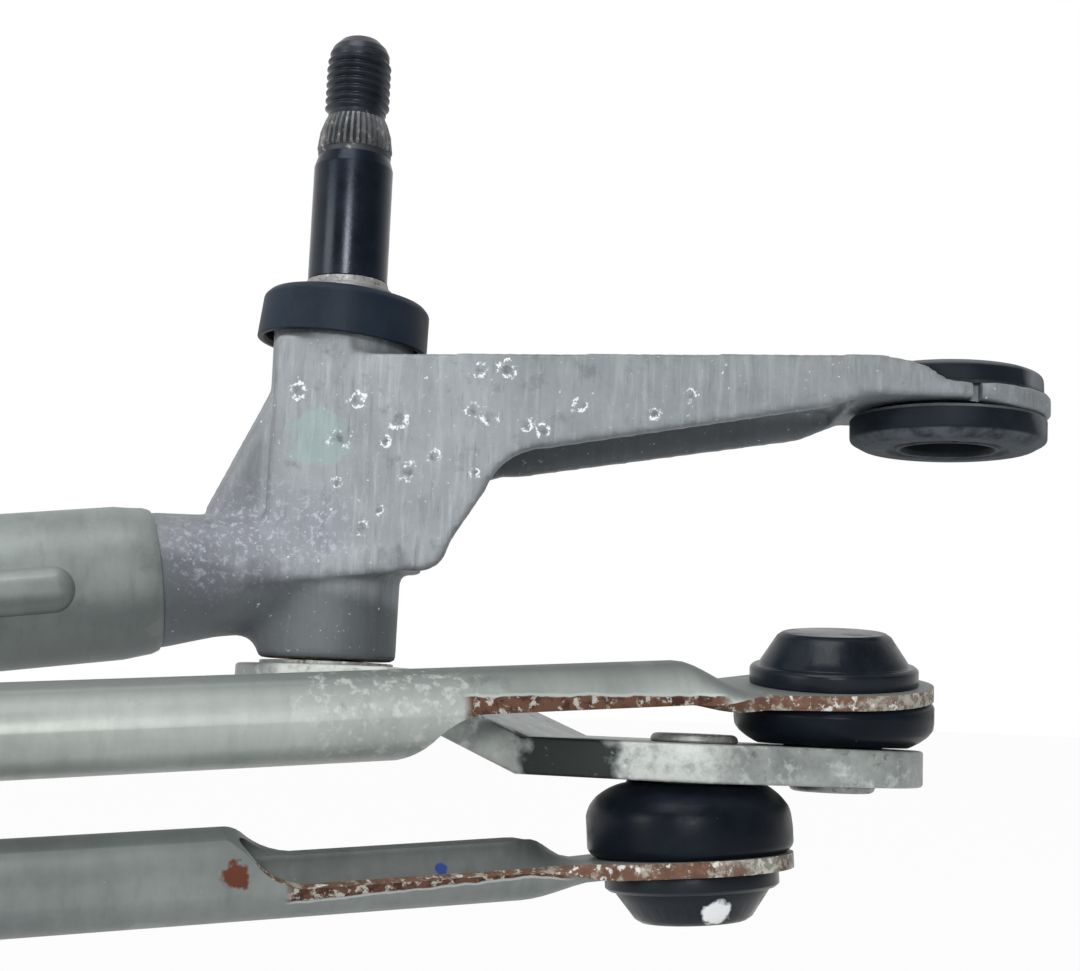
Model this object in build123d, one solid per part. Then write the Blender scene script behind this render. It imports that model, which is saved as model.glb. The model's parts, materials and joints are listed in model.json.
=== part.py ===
from build123d import *
import os
from math import atan, atan2, cos, degrees, hypot, pi, radians, sin

# Windshield wiper motor with its linkage, in millimetres, +Z up along the wiper spindles.
# The model is drawn from the right-hand spindle: X to the right, away from the left-hand
# spindle, Y away from the viewer, Z = 0 at the lower face of the right-hand pivot barrel.
# It is written out from the centre of the right-hand mounting eye.

# Spindle, from the lower face of the barrel upwards
SHAFT_D = 12.0
THREAD_CREST_D = 9.8
THREAD_LENGTH = 8.7
NOSE_LENGTH = 3.8
NOSE_TIP_D = 3.0
RUNOUT_LENGTH = 0.8
KNURL_TOP_D = 9.2
KNURL_BASE_D = 11.5
KNURL_LENGTH = 4.9
GROOVE_D = 11.1
GROOVE_LENGTH = 1.5
SHOULDER_CHAMFER = 1.2
SHAFT_SHOWN = 20.9
TENON_D = 10.0
RIVET_HEAD_D = 12.0
RIVET_HEAD_T = 1.2

# Pivot housing, a die casting
BARREL_H = 52.8
BARREL_TOP_D = 21.2
BARREL_FOOT_D = 20.2
BUSH_OD = 15.0
BUSH_LENGTH = 15.0
SEAL_OD = 17.6
SEAL_H = 2.2
PLATE_PROUD = 0.5
PLATE_LEFT = 8.9
PLATE_TOP = 46.6
LEDGE_H = 3.5
LEDGE_PROUD = 0.7
LEDGE_LEFT = 14.6
LEDGE_LOW = 9.8
LEDGE_RISE = 2.8
WEB_T = 7.0
WEB_TOP = 40.3
WEB_REACH = 18.6
SPIGOT_AXIS_Z = 13.9
NECK_D = 17.8
NECK_LENGTH = 8.0
NECK_FILLET = 3.2
SPIGOT_START = 26.2
SPIGOT_LENGTH = 30.0
RIGHT_SPIGOT_RISE = 8.2
LEFT_SPIGOT_RISE = -4.0

# Arm of the pivot housing, an upside-down channel that ends in an eye
ARM_ANGLE = -20.0
RIGHT_ARM = 92.1
LEFT_ARM = 72.0
EYE_OFFSET = 3.0
ARM_WALL = 2.8
ARM_TOP_AT_BARREL = 44.0
ARM_TOP_AT_EYE = 46.8
ARM_NECK_Z = 38.9
ARM_BELLY_Z = 31.4
ARM_BELLY_REACH = 31.0
FAR_NECK_Z = 38.1
FAR_BELLY_Z = 29.9
FAR_BELLY_REACH = 26.5
ARM_FOOT_Z = 12.9
ARM_FOOT_REACH = 13.3
ARM_HEEL_REACH = 22.6
ARM_HEEL_Z = 25.0
FAR_HEEL_REACH = 18.4
FAR_HEEL_Z = 25.0
FAR_FOOT_REACH = 8.6
FAR_FOOT_Z = 16.5
EYE_OD = 30.3
EYE_HOLE_D = 22.2
EYE_BAND = 3.1
EYE_FLOOR = 40.3
EYE_STEP = 0.7
EYE_SLOT = 1.4

# Rubber grommet in each eye
GROMMET_D = 29.4
GROMMET_TOP_D = 28.4
GROMMET_BORE_D = 13.4
GROMMET_GROOVE_D = 17.6
GROMMET_GROOVE = 0.5
GROMMET_LEAD_IN = 0.6
GROMMET_BELOW = 4.9
GROMMET_ABOVE = 3.7

# Cup cap, washers and retaining ring
CAP_OD = 25.6
CAP_WALL = 1.5
CAP_H = 7.4
CAP_TOP = 1.5
CAP_CORNER = 1.4
RING_OD = 13.8
RING_T = 2.4
LOWER_WASHER_OD = 19.6
LOWER_WASHER_T = 0.6

# Levers, pressed from flat bar and joggled down
LEVER_T = 5.0
LEVER_ROOT_D = 26.4
LEVER_END_D = 25.0
LEVER_DROP = 8.7
JOGGLE_START = 14.5
JOGGLE_END = 35.0
OUTER_BALL = (65.2, -34.6)
INNER_BALL = (44.0, -34.0)
OUTER_REACH = 8.0
INNER_REACH = 11.0

# Ball joints
BALL_D = 13.0
STUD_NECK_D = 8.0
STUD_FLANGE_D = 14.0
STUD_FLANGE_T = 1.0
SOCKET_COLLAR_D = 23.6
SOCKET_COLLAR_T = 2.8
SOCKET_CONE_D = 21.0
SOCKET_TOP_D = 15.0
SOCKET_H = 8.8
SOCKET_BODY_D = 20.8
SOCKET_LIP_D = 22.2
SOCKET_LIP_T = 1.1
SOCKET_MOUTH_D = 12.4
BOOT_D = 28.0
BOOT_WALL = 1.2
BOOT_FOOT_D = 19.0
BOOT_SHOULDER = 0.14
BOOT_SIDE = 0.56

# Link rods, steel tube with the lever-side half cut away at each end and the rest pressed flat
ROD_D = 11.6
ROD_WALL = 1.5
BLADE_D = 27.8
BLADE_T = 2.0
BLADE_NECK = 17.0
SHELL_START = 57.0
SCOOP_LENGTH = 11.0
SHELL_END = 25.0
BLADE_START = 14.5
OUTER_ROD_LENGTH = 250.0
INNER_ROD_LENGTH = 520.0
OUTER_ROD_RISE = 4.4
INNER_ROD_RISE = 3.95
OUTER_ROD_ROLL = 7.0
INNER_ROD_ROLL = 2.0
OUTER_ROD_AXIS = -0.8
INNER_ROD_AXIS = 2.4
OUTER_ROD_TILT = -4.0
INNER_ROD_TILT = 20.0

# Frame tube
TUBE_OD = 21.8
TUBE_WALL = 1.2
TUBE_BEND_R = 45.0
TUBE_SWAGE = 5.0
TUBE_SWAGE_DEPTH = 0.45
CRIMP_LENGTH = 20.0
CRIMP_START = 12.0
CRIMP_R = 4.6
CRIMP_DEPTH = 0.95
TUBE_SET_BACK = 52.0

# Motor and gearbox
GEAR_CASE_D = 72.0
GEAR_CASE_H = 27.0
GEAR_CASE_WALL = 3.0
OUTPUT_BOSS_D = 22.0
OUTPUT_BOSS_H = 23.4
OUTPUT_SHAFT_D = 10.0
OUTPUT_BUSH_OD = 14.0
OUTPUT_BUSH_LENGTH = 22.0
OUTPUT_BUSH_FLANGE_D = 18.0
OUTPUT_BUSH_FLANGE_T = 0.6
WHEEL_D = 58.0
WHEEL_T = 9.0
WORM_D = 9.0
WORM_LENGTH = 30.0
WORM_GAP = 0.6
MOTOR_CAN_D = 56.0
MOTOR_CAN_LENGTH = 74.0
MOTOR_CAN_WALL = 1.6
MOTOR_FLANGE_T = 5.0
MOTOR_START = 44.0
MAGNET_T = 6.0
MAGNET_LENGTH = 44.0
MAGNET_SPAN = 130.0
ARMATURE_D = 39.6
ARMATURE_LENGTH = 40.0
ARMATURE_SHAFT_D = 7.0
COMMUTATOR_D = 20.0
COMMUTATOR_LENGTH = 12.0
BRUSH_PLATE_T = 3.0
COVER_T = 3.0
SCREW_D = 5.0
SCREW_HEAD_D = 9.0
SCREW_HEAD_T = 3.5
COVER_SCREW_OUT = 1.0
BRACKET_SCREW_R = 23.0
CONNECTOR_L = 30.0
CONNECTOR_W = 24.0
CONNECTOR_H = 15.0
CONNECTOR_WALL = 1.8
TERMINAL_W = 2.8
TERMINAL_T = 0.8
TERMINAL_PITCH = 5.0
CRANK_T = 4.5
CRANK_HUB_D = 24.0
CRANK_SHAFT_D = 8.0
CRANK_NUT_AF = 13.0
CRANK_NUT_T = 6.5
BRACKET_T = 3.1
BRACKET_ROOT_D = 66.0
BRACKET_EYE_REACH = 90.0
BRACKET_SADDLE = 34.0
SADDLE_T = 2.5

# Clearances
RUNNING = 0.05
SEAT = 0.02
SOFT_GAP = 0.3
BALL_GAP = 0.25

# Places that follow from the sizes
LEVER_SEAT_Z = -LOWER_WASHER_T - SOFT_GAP
LEVER_TOP_Z = LEVER_SEAT_Z - LEVER_DROP
LEVER_UNDER_Z = LEVER_TOP_Z - LEVER_T
CAP_TOP_Z = BARREL_H + CAP_TOP
RING_Z = CAP_TOP_Z + SOFT_GAP
SHOULDER_Z = CAP_TOP_Z + SHAFT_SHOWN
SPIGOT_D = TUBE_OD - 2 * TUBE_WALL - 2 * SEAT
EYE_TOP = EYE_FLOOR + EYE_BAND
GROMMET_FLOOR = EYE_FLOOR - GROMMET_BELOW
GROMMET_TOP = EYE_TOP + GROMMET_ABOVE
OUTER_BALL_Z = LEVER_TOP_Z + OUTER_REACH
INNER_BALL_Z = LEVER_UNDER_Z - INNER_REACH
LEFT_X = -INNER_ROD_LENGTH * cos(radians(INNER_ROD_RISE))
LEFT_Z = -INNER_ROD_LENGTH * sin(radians(INNER_ROD_RISE))
CRANK_X = -OUTER_ROD_LENGTH * cos(radians(OUTER_ROD_RISE))
CRANK_BALL_Z = OUTER_BALL_Z - OUTER_ROD_LENGTH * sin(radians(OUTER_ROD_RISE))
CRANK_UNDER_Z = CRANK_BALL_Z + OUTER_REACH
CRANK_TOP_Z = CRANK_UNDER_Z + CRANK_T
GEAR_CASE_FLOOR_Z = CRANK_TOP_Z + SOFT_GAP + OUTPUT_BUSH_FLANGE_T + OUTPUT_BOSS_H
GEAR_CASE_TOP_Z = GEAR_CASE_FLOOR_Z + GEAR_CASE_H
COVER_SCREW_R = GEAR_CASE_D / 2 + COVER_SCREW_OUT
WHEEL_Z = GEAR_CASE_FLOOR_Z + GEAR_CASE_WALL + 1.5
WORM_Y = -(WHEEL_D / 2 + WORM_GAP + WORM_D / 2)
WORM_Z = WHEEL_Z + WHEEL_T / 2
BRACKET_Z = GEAR_CASE_FLOOR_Z - BRACKET_T
CAN_BORE_D = MOTOR_CAN_D - 2 * MOTOR_CAN_WALL


def eye_centre(arm_length):
    """Plan place of an eye, seen from its spindle: along the arm, and set back from its line."""
    along = radians(ARM_ANGLE)
    return (
        arm_length * cos(along) - EYE_OFFSET * sin(along),
        arm_length * sin(along) + EYE_OFFSET * cos(along),
    )


RIGHT_EYE = eye_centre(RIGHT_ARM)
MOUNT_Z = (GROMMET_FLOOR + GROMMET_TOP) / 2
ORIGIN = Pos(-RIGHT_EYE[0], -RIGHT_EYE[1], -MOUNT_Z)


def write(solid, node):
    """Move a sub-part to the written frame and save it under its node's name."""
    placed = ORIGIN * solid
    export_step(placed, f"parts/{node}.step")


def disc(diameter, low, high, x=0.0, y=0.0):
    """Upright cylinder between two heights."""
    return Pos(x, y, low) * Cylinder(
        diameter / 2, high - low, align=(Align.CENTER, Align.CENTER, Align.MIN)
    )


def block(x0, x1, y0, y1, z0, z1):
    """Box between opposite corners."""
    return Pos((x0 + x1) / 2, (y0 + y1) / 2, (z0 + z1) / 2) * Box(x1 - x0, y1 - y0, z1 - z0)


def turned(*outline):
    """Solid turned about Z from (radius, height) corners."""
    face = make_face(Plane.XZ * Polyline(*outline, close=True))
    return revolve(face, Axis.Z)


def slab(outline, width):
    """Solid of an outline in the XZ plane, as wide to the front as to the back."""
    return extrude(make_face(Plane.XZ * outline), width / 2, both=True)


def hull_plate(circles, low, high):
    """Plate whose outline is stretched round circles, each (x, y, diameter)."""
    rings = [Pos(x, y) * Circle(diameter / 2) for x, y, diameter in circles]
    edges = [edge for ring in rings for edge in ring.edges()]
    return Pos(0, 0, low) * extrude(make_hull(edges), high - low)


# Spindle and what sits on it


def spindle():
    """Wiper spindle: nose, thread, tapered knurl, groove, shaft, tenon and peened head."""
    knurl_base = SHOULDER_Z + SHOULDER_CHAMFER + GROOVE_LENGTH
    knurl_top = knurl_base + KNURL_LENGTH
    thread_low = knurl_top + RUNOUT_LENGTH
    thread_top = thread_low + THREAD_LENGTH
    tip = thread_top + NOSE_LENGTH
    shaft, tenon, crest = SHAFT_D / 2, TENON_D / 2, THREAD_CREST_D / 2
    under = LEVER_SEAT_Z - LEVER_T
    ring_seat = shaft - 0.4
    outline = Plane.XZ * (
        Polyline(
            (0, tip),
            (0, under - RIVET_HEAD_T),
            (RIVET_HEAD_D / 2 - 0.6, under - RIVET_HEAD_T),
            (RIVET_HEAD_D / 2, under - RIVET_HEAD_T + 0.6),
            (RIVET_HEAD_D / 2, under),
            (tenon, under),
            (tenon, LEVER_SEAT_Z),
            (shaft, LEVER_SEAT_Z),
            (shaft, RING_Z),
            (ring_seat, RING_Z),
            (ring_seat, RING_Z + RING_T),
            (shaft, RING_Z + RING_T),
            (shaft, SHOULDER_Z),
            (GROOVE_D / 2, SHOULDER_Z + SHOULDER_CHAMFER),
            (GROOVE_D / 2, knurl_base),
            (KNURL_BASE_D / 2, knurl_base),
            (KNURL_TOP_D / 2, knurl_top),
            (crest - 0.4, knurl_top),
            (crest - 0.4, thread_low),
            (crest, thread_low + 0.4),
            (crest, thread_top),
        )
        + ThreePointArc(
            (crest, thread_top),
            (crest - 0.8, thread_top + NOSE_LENGTH * 0.58),
            (NOSE_TIP_D / 2, tip),
        )
        + Line((NOSE_TIP_D / 2, tip), (0, tip))
    )
    return revolve(make_face(outline), Axis.Z)


def retaining_ring():
    """Pressed ring that keeps the spindle down on the cap, in a shallow seat of the shaft."""
    bore = SHAFT_D - 0.8 + 2 * SEAT
    ring = disc(RING_OD, RING_Z, RING_Z + RING_T) - disc(bore, RING_Z - 1, RING_Z + RING_T + 1)
    return chamfer(ring.edges().group_by(Axis.Z)[-1].sort_by(SortBy.RADIUS)[-1], 0.3)


def lower_washer():
    """Thrust washer between the barrel and the lever."""
    top = LEVER_SEAT_Z + LOWER_WASHER_T
    bore = SHAFT_D + 2 * RUNNING
    return disc(LOWER_WASHER_OD, LEVER_SEAT_Z, top) - disc(bore, LEVER_SEAT_Z - 1, top + 1)


def cup_cap():
    """Upside-down cup over the top of the barrel, with a hole for the spindle."""
    floor = CAP_TOP_Z - CAP_H
    outer = disc(CAP_OD, floor, CAP_TOP_Z)
    outer = fillet(outer.edges().group_by(Axis.Z)[-1], CAP_CORNER)
    hollow = disc(CAP_OD - 2 * CAP_WALL, floor - 1, BARREL_H)
    return outer - hollow - disc(SHAFT_D + 2 * SOFT_GAP, BARREL_H - 1, CAP_TOP_Z + 1)


def seal_ring():
    """Rubber seal in the counterbore at the top of the barrel."""
    low = BARREL_H - SEAL_H
    return disc(SEAL_OD - 2 * SEAT, low, BARREL_H - 0.2) - disc(SHAFT_D + 0.2, low - 1, BARREL_H)


def bush(low):
    """Sintered bush pressed into the barrel."""
    body = disc(BUSH_OD - 2 * SEAT, low, low + BUSH_LENGTH)
    return body - disc(SHAFT_D + 2 * RUNNING, low - 1, low + BUSH_LENGTH + 1)


# Pivot housing


def arm_outline(arm_length, foot, heel, belly, neck_z):
    """Side view of one wall of the arm: distance along it, and height."""
    eye_start = arm_length - EYE_OD / 2
    eye_end = arm_length + EYE_OD / 2 + 2
    eye_under = EYE_FLOOR + EYE_STEP
    neck = eye_start - 5.8
    crest = (arm_length - 14.9, ARM_TOP_AT_EYE)
    bend = (arm_length - 6.4, ARM_TOP_AT_EYE - 1.35)
    valley = (arm_length + 0.2, EYE_TOP)
    # the top slopes up to the eye, rolls down along the grommet and runs out over the ring
    top = Line((0, ARM_TOP_AT_BARREL), crest)
    roll = ThreePointArc(crest, (arm_length - 10.0, ARM_TOP_AT_EYE - 0.38), bend)
    dip = ThreePointArc(bend, (arm_length - 3.9, EYE_TOP + 0.5), valley)
    ring = Polyline(
        valley,
        (eye_end, EYE_TOP),
        (eye_end, EYE_FLOOR),
        (arm_length + 8.0, EYE_FLOOR),
        (arm_length - 0.5, eye_under),
        (eye_start + 0.7, eye_under),
        (neck, neck_z),
    )
    underside = Line((neck, neck_z), belly)
    # the belly curves down at the heel into the shin of the wall, and the shin into its foot
    sag = (belly[0] - heel[0]) * 0.14
    middle = ((belly[0] + heel[0]) / 2 - sag, (belly[1] + heel[1]) / 2 + sag)
    bow = ThreePointArc(belly, middle, heel)
    ankle = (foot[0] + 4.4, foot[1] + 4.2)
    shin = Line(heel, ankle)
    toe = ThreePointArc(ankle, (foot[0] + 2.9, foot[1] + 1.1), foot)
    back = Polyline(foot, (0, foot[1]), (0, ARM_TOP_AT_BARREL))
    return top + roll + dip + ring + underside + bow + shin + toe + back


def arm(arm_length):
    """Channel-section arm along +X with its mounting ring, before it is turned to its angle."""
    width = BARREL_TOP_D + 2 * PLATE_PROUD
    foot = (ARM_FOOT_REACH, ARM_FOOT_Z)
    heel = (ARM_HEEL_REACH, ARM_HEEL_Z)
    belly = (ARM_BELLY_REACH, ARM_BELLY_Z)
    near = slab(arm_outline(arm_length, foot, heel, belly, ARM_NECK_Z), 120)
    far_foot = (FAR_FOOT_REACH, FAR_FOOT_Z)
    far_heel = (FAR_HEEL_REACH, FAR_HEEL_Z)
    far_belly = (FAR_BELLY_REACH, FAR_BELLY_Z)
    far = slab(arm_outline(arm_length, far_foot, far_heel, far_belly, FAR_NECK_Z), 120)
    reach = arm_length + EYE_OD
    near = near & block(-20, reach, -60, 0, 0, BARREL_H)
    far = far & block(-20, reach, 0, 60, 0, BARREL_H)
    plan = hull_plate([(0, 0, width), (arm_length, EYE_OFFSET, EYE_OD)], 0, BARREL_H + 10)
    body = (near + far) & plan
    inner = hull_plate(
        [(0, 0, width - 2 * ARM_WALL), (arm_length, EYE_OFFSET, EYE_OD - 2 * ARM_WALL)],
        0,
        BARREL_H + 10,
    )
    hollow_end = arm_length - EYE_OD / 2 - 1.0
    hollow_side = Polyline(
        (0, 0),
        (hollow_end, 0),
        (hollow_end, ARM_TOP_AT_EYE - ARM_WALL - 1.5),
        (0, ARM_TOP_AT_BARREL - ARM_WALL),
        close=True,
    )
    hollow = slab(hollow_side, 120) & inner
    pocket = disc(GROMMET_TOP_D + 0.8, EYE_TOP, BARREL_H, arm_length, EYE_OFFSET)
    hole = disc(EYE_HOLE_D, 0, BARREL_H, arm_length, EYE_OFFSET)
    # notch in the near side of the ring
    front = EYE_OFFSET - EYE_OD / 2
    notch_start = arm_length + 0.1
    notch_end = notch_start + EYE_SLOT
    notch = block(notch_start, notch_end, front - 1, front + 1.2, EYE_FLOOR - 1, EYE_TOP + 1)
    return body - hollow - pocket - hole - notch


def front_plate():
    """Flat plate over the front of the barrel, level with the side of the arm."""
    front = -(BARREL_TOP_D / 2 + PLATE_PROUD)
    plan = make_face(Polyline(
        (-PLATE_LEFT, 0),
        (-PLATE_LEFT, front + 1.6),
        (-PLATE_LEFT + 0.5, front + 0.5),
        (-PLATE_LEFT + 1.6, front),
        (ARM_FOOT_REACH, front),
        (ARM_FOOT_REACH, 0),
        close=True,
    ))
    plate = Pos(0, 0, ARM_FOOT_Z) * extrude(plan, PLATE_TOP - ARM_FOOT_Z)
    # above the arm only the left half of the plate goes on up to the cap
    return plate - block(2.5, ARM_FOOT_REACH + 1, front - 1, 0, ARM_TOP_AT_BARREL, PLATE_TOP + 1)


def ledge():
    """Rib under the front plate, from the right of the barrel round on to the neck."""
    front = -(BARREL_TOP_D / 2 + PLATE_PROUD + LEDGE_PROUD)
    along = radians(ARM_ANGLE)
    right, knee = ARM_FOOT_REACH - 2, -5.5
    corners = [
        (s * cos(along) - front * sin(along), s * sin(along) + front * cos(along))
        for s in (right, knee)
    ]
    neck_front = -(NECK_D / 2 + 0.6)
    plan = make_face(Polyline(
        *corners, (-LEDGE_LEFT, neck_front), (-LEDGE_LEFT, 0), (corners[0][0], 0), close=True
    ))
    slope = degrees(atan2(LEDGE_RISE, LEDGE_LEFT + corners[0][0]))
    return Pos(-LEDGE_LEFT, 0, LEDGE_LOW) * Rot(0, -slope, 0) * Pos(LEDGE_LEFT, 0, 0) * extrude(plan, LEDGE_H)


def along_spigot(solid, rise):
    """Lay a solid drawn up the Z axis along the spigot, which falls away from the barrel."""
    return Pos(0, 0, SPIGOT_AXIS_Z) * Rot(0, -90 - rise, 0) * solid


def spigot(rise):
    """Neck and spigot for the frame tube, along -X from the barrel and falling away from it."""
    neck, plug = NECK_D / 2, SPIGOT_D / 2
    end = SPIGOT_START + SPIGOT_LENGTH
    outline = Polyline(
        (0, 0),
        (neck, 0),
        (neck, SPIGOT_START - NECK_LENGTH),
        (plug, SPIGOT_START - 0.8),
        (plug, end - 1.0),
        (plug - 1.0, end),
        (0, end),
        close=True,
    )
    body = revolve(make_face(Plane.XZ * outline), Axis.Z)
    dents = crimp_tools(SPIGOT_START, TUBE_OD / 2 - CRIMP_DEPTH - SEAT)
    return along_spigot(body - dents, rise)


def crimp_tools(tube_end, floor_radius):
    """Two long rounded tools, front and back, that press the tube into the spigot."""
    start = tube_end + CRIMP_START
    tool = Pos(0, 0, start) * Cylinder(
        CRIMP_R, CRIMP_LENGTH, align=(Align.CENTER, Align.CENTER, Align.MIN)
    )
    tool += Pos(0, 0, start) * Sphere(CRIMP_R)
    tool += Pos(0, 0, start + CRIMP_LENGTH) * Sphere(CRIMP_R)
    reach = floor_radius + CRIMP_R
    return Pos(0, reach, 0) * tool + Pos(0, -reach, 0) * tool


def web():
    """Thin triangular web between the barrel and the neck."""
    outline = Polyline(
        (0, WEB_TOP),
        (-9.9, WEB_TOP),
        (-WEB_REACH, 21.5),
        (-WEB_REACH, 12),
        (0, 12),
        close=True,
    )
    return slab(outline, WEB_T)


def pivot_housing(arm_length, rise):
    """Whole casting: barrel, front plate with ledge, neck and spigot, web and arm."""
    top, foot = BARREL_TOP_D / 2, BARREL_FOOT_D / 2
    barrel = turned((0, 0), (foot, 0), (top, BARREL_H), (0, BARREL_H))
    neck = along_spigot(disc(NECK_D, 0, SPIGOT_START - NECK_LENGTH), rise)
    body = barrel + neck
    body = fillet(body.edges().filter_by(GeomType.BSPLINE), NECK_FILLET)
    body += spigot(rise)
    body += web()
    body += Rot(0, 0, ARM_ANGLE) * (arm(arm_length) + front_plate())
    body += ledge()
    body -= disc(BUSH_OD, -1, BARREL_H + 1)
    body -= disc(SEAL_OD, BARREL_H - SEAL_H, BARREL_H + 1)
    return body


def grommet(arm_length):
    """Rubber grommet: two flanges, a waist in the ring, and a bore with a lip and a groove."""
    bore, groove = GROMMET_BORE_D / 2, GROMMET_GROOVE_D / 2
    wide, top, waist = GROMMET_D / 2, GROMMET_TOP_D / 2, EYE_HOLE_D / 2 - SEAT
    ring = turned(
        (bore, GROMMET_FLOOR + GROMMET_LEAD_IN),
        (bore + 0.3, GROMMET_FLOOR),
        (bore + 0.9, GROMMET_FLOOR),
        (bore + 1.2, GROMMET_FLOOR + GROMMET_GROOVE),
        (groove, GROMMET_FLOOR + GROMMET_GROOVE),
        (groove + 0.4, GROMMET_FLOOR),
        (wide - 2.1, GROMMET_FLOOR),
        (wide, GROMMET_FLOOR + 1.2),
        (wide, EYE_FLOOR - 0.5),
        (wide - 0.5, EYE_FLOOR),
        (waist, EYE_FLOOR),
        (waist, EYE_TOP),
        (top - 0.4, EYE_TOP),
        (top, EYE_TOP + 0.5),
        (top, EYE_TOP + 2.9),
        (top - 0.8, GROMMET_TOP),
        (bore + 0.3, GROMMET_TOP),
        (bore, GROMMET_TOP - GROMMET_LEAD_IN),
    )
    x, y = eye_centre(arm_length)
    return Pos(x, y, 0) * ring


# Levers, studs and sockets


def joggled(plan, circles, start, end):
    """Flat bar plan bent down between two distances along its first leg."""
    top, low = LEVER_SEAT_Z, LEVER_TOP_Z
    angle = atan2(circles[1][1], circles[1][0])
    outline = Polyline(
        (-60, top),
        (start, top),
        (end, low),
        (140, low),
        (140, low - LEVER_T),
        (end - 1.0, low - LEVER_T),
        (start - 1.0, top - LEVER_T),
        (-60, top - LEVER_T),
        close=True,
    )
    return plan & (Rot(0, 0, degrees(angle)) * slab(outline, 160))


def lever(balls):
    """Lever with a round root and a round end at each ball, joggled down past the root."""
    circles = [(0, 0, LEVER_ROOT_D)] + [(x, y, LEVER_END_D) for x, y in balls]
    plan = hull_plate(circles, LEVER_UNDER_Z - 1, LEVER_SEAT_Z + 1)
    body = joggled(plan, circles, JOGGLE_START, JOGGLE_END)
    for x, y in [(0, 0)] + list(balls):
        body -= disc(TENON_D + 2 * SEAT, LEVER_UNDER_Z - 2, LEVER_SEAT_Z + 2, x, y)
    return body


def ball_stud(reach, plate_t):
    """Ball stud: origin at the ball, plate face at -reach, riveted over on the far side."""
    face = -reach
    stud = Sphere(BALL_D / 2)
    stud += disc(STUD_NECK_D, face, 0)
    stud += disc(STUD_FLANGE_D, face, face + STUD_FLANGE_T)
    stud += disc(TENON_D, face - plate_t, face)
    head = disc(RIVET_HEAD_D, face - plate_t - RIVET_HEAD_T, face - plate_t)
    return stud + chamfer(head.edges().group_by(Axis.Z)[0], 0.5)


def socket():
    """Plastic ball socket: origin at the ball, closed end up, lip under the blade."""
    blade = BLADE_T / 2
    collar_low = blade + 0.02
    collar_top = collar_low + SOCKET_COLLAR_T
    body = turned(
        (0, -blade - SOCKET_LIP_T),
        (SOCKET_LIP_D / 2 - 0.5, -blade - SOCKET_LIP_T),
        (SOCKET_LIP_D / 2, -blade - 0.4),
        (SOCKET_LIP_D / 2, -blade - SEAT),
        (SOCKET_BODY_D / 2, -blade - SEAT),
        (SOCKET_BODY_D / 2, collar_low),
        (SOCKET_COLLAR_D / 2, collar_low),
        (SOCKET_COLLAR_D / 2, collar_top - 0.5),
        (SOCKET_COLLAR_D / 2 - 0.5, collar_top),
        (SOCKET_CONE_D / 2, collar_top),
        (SOCKET_CONE_D / 2 - 0.2, collar_top + 0.6),
        (SOCKET_TOP_D / 2 + 0.5, SOCKET_H - 0.6),
        (SOCKET_TOP_D / 2 - 0.3, SOCKET_H),
        (0, SOCKET_H),
    )
    mouth = disc(SOCKET_MOUTH_D, -blade - SOCKET_LIP_T - 1, 0)
    return body - Sphere(BALL_D / 2 + BALL_GAP) - mouth


def boot(reach):
    """Rubber dust boot under the blade, longer than needed; it is cut level at the lever."""
    top = -BLADE_T / 2 - SEAT
    length = reach + 4.0 + top
    side_top = top - BOOT_SHOULDER * (reach + top)
    side_low = top - BOOT_SIDE * (reach + top)
    wide, foot = BOOT_D / 2, BOOT_FOOT_D / 2
    foot_z = -reach
    lip = wide - 1.6
    inner_lip = SOCKET_LIP_D / 2 + SEAT
    outer = Polyline((0, top), (lip, top)) + ThreePointArc(
        (lip, top), (wide - 0.3, (top + side_top) / 2), (wide, side_top)
    )
    outer += Line((wide, side_top), (wide, side_low))
    outer += ThreePointArc(
        (wide, side_low), ((wide + foot) / 2 + 1.3, (side_low + foot_z) / 2 - 0.2), (foot, foot_z)
    )
    outer += Polyline((foot, foot_z), (foot, -length), (0, -length), (0, top))
    body = revolve(make_face(Plane.XZ * outer), Axis.Z)
    hollow = turned(
        (0, top + 1),
        (inner_lip, top + 1),
        (inner_lip, top - SOCKET_LIP_T - 0.2),
        (wide - BOOT_WALL, side_top - 0.2),
        (wide - BOOT_WALL, side_low),
        (foot - BOOT_WALL + 0.4, foot_z + 0.4),
        (foot - BOOT_WALL, -length - 1),
        (0, -length - 1),
    )
    return body - hollow


# Link rods


def rod_end(axis, tilt):
    """Opened and flattened end in a tube's frame: blade centre at the origin, closed side up.

    The tube's axis lies at this height and the tube leaves towards -X. The half tube is
    turned by the tilt about its axis and comes level as it flattens into the blade.
    """
    half = BLADE_T / 2
    blade = hull_plate([(0, 0, BLADE_D), (-BLADE_START, 0, BLADE_NECK)], -half, half)
    blade -= block(-BLADE_START - BLADE_NECK, -BLADE_START, -BLADE_D, BLADE_D, -BLADE_D, BLADE_D)
    steps = [0.0, 0.14, 0.27, 0.39, 0.5, 0.61, 0.73, 0.86, 1.0]
    shell = loft([shell_section(step, axis, tilt) for step in steps], ruled=True)
    return blade + shell


def eased(step):
    """Smooth start and end of a change between 0 and 1."""
    return step * step * (3 - 2 * step)


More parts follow.
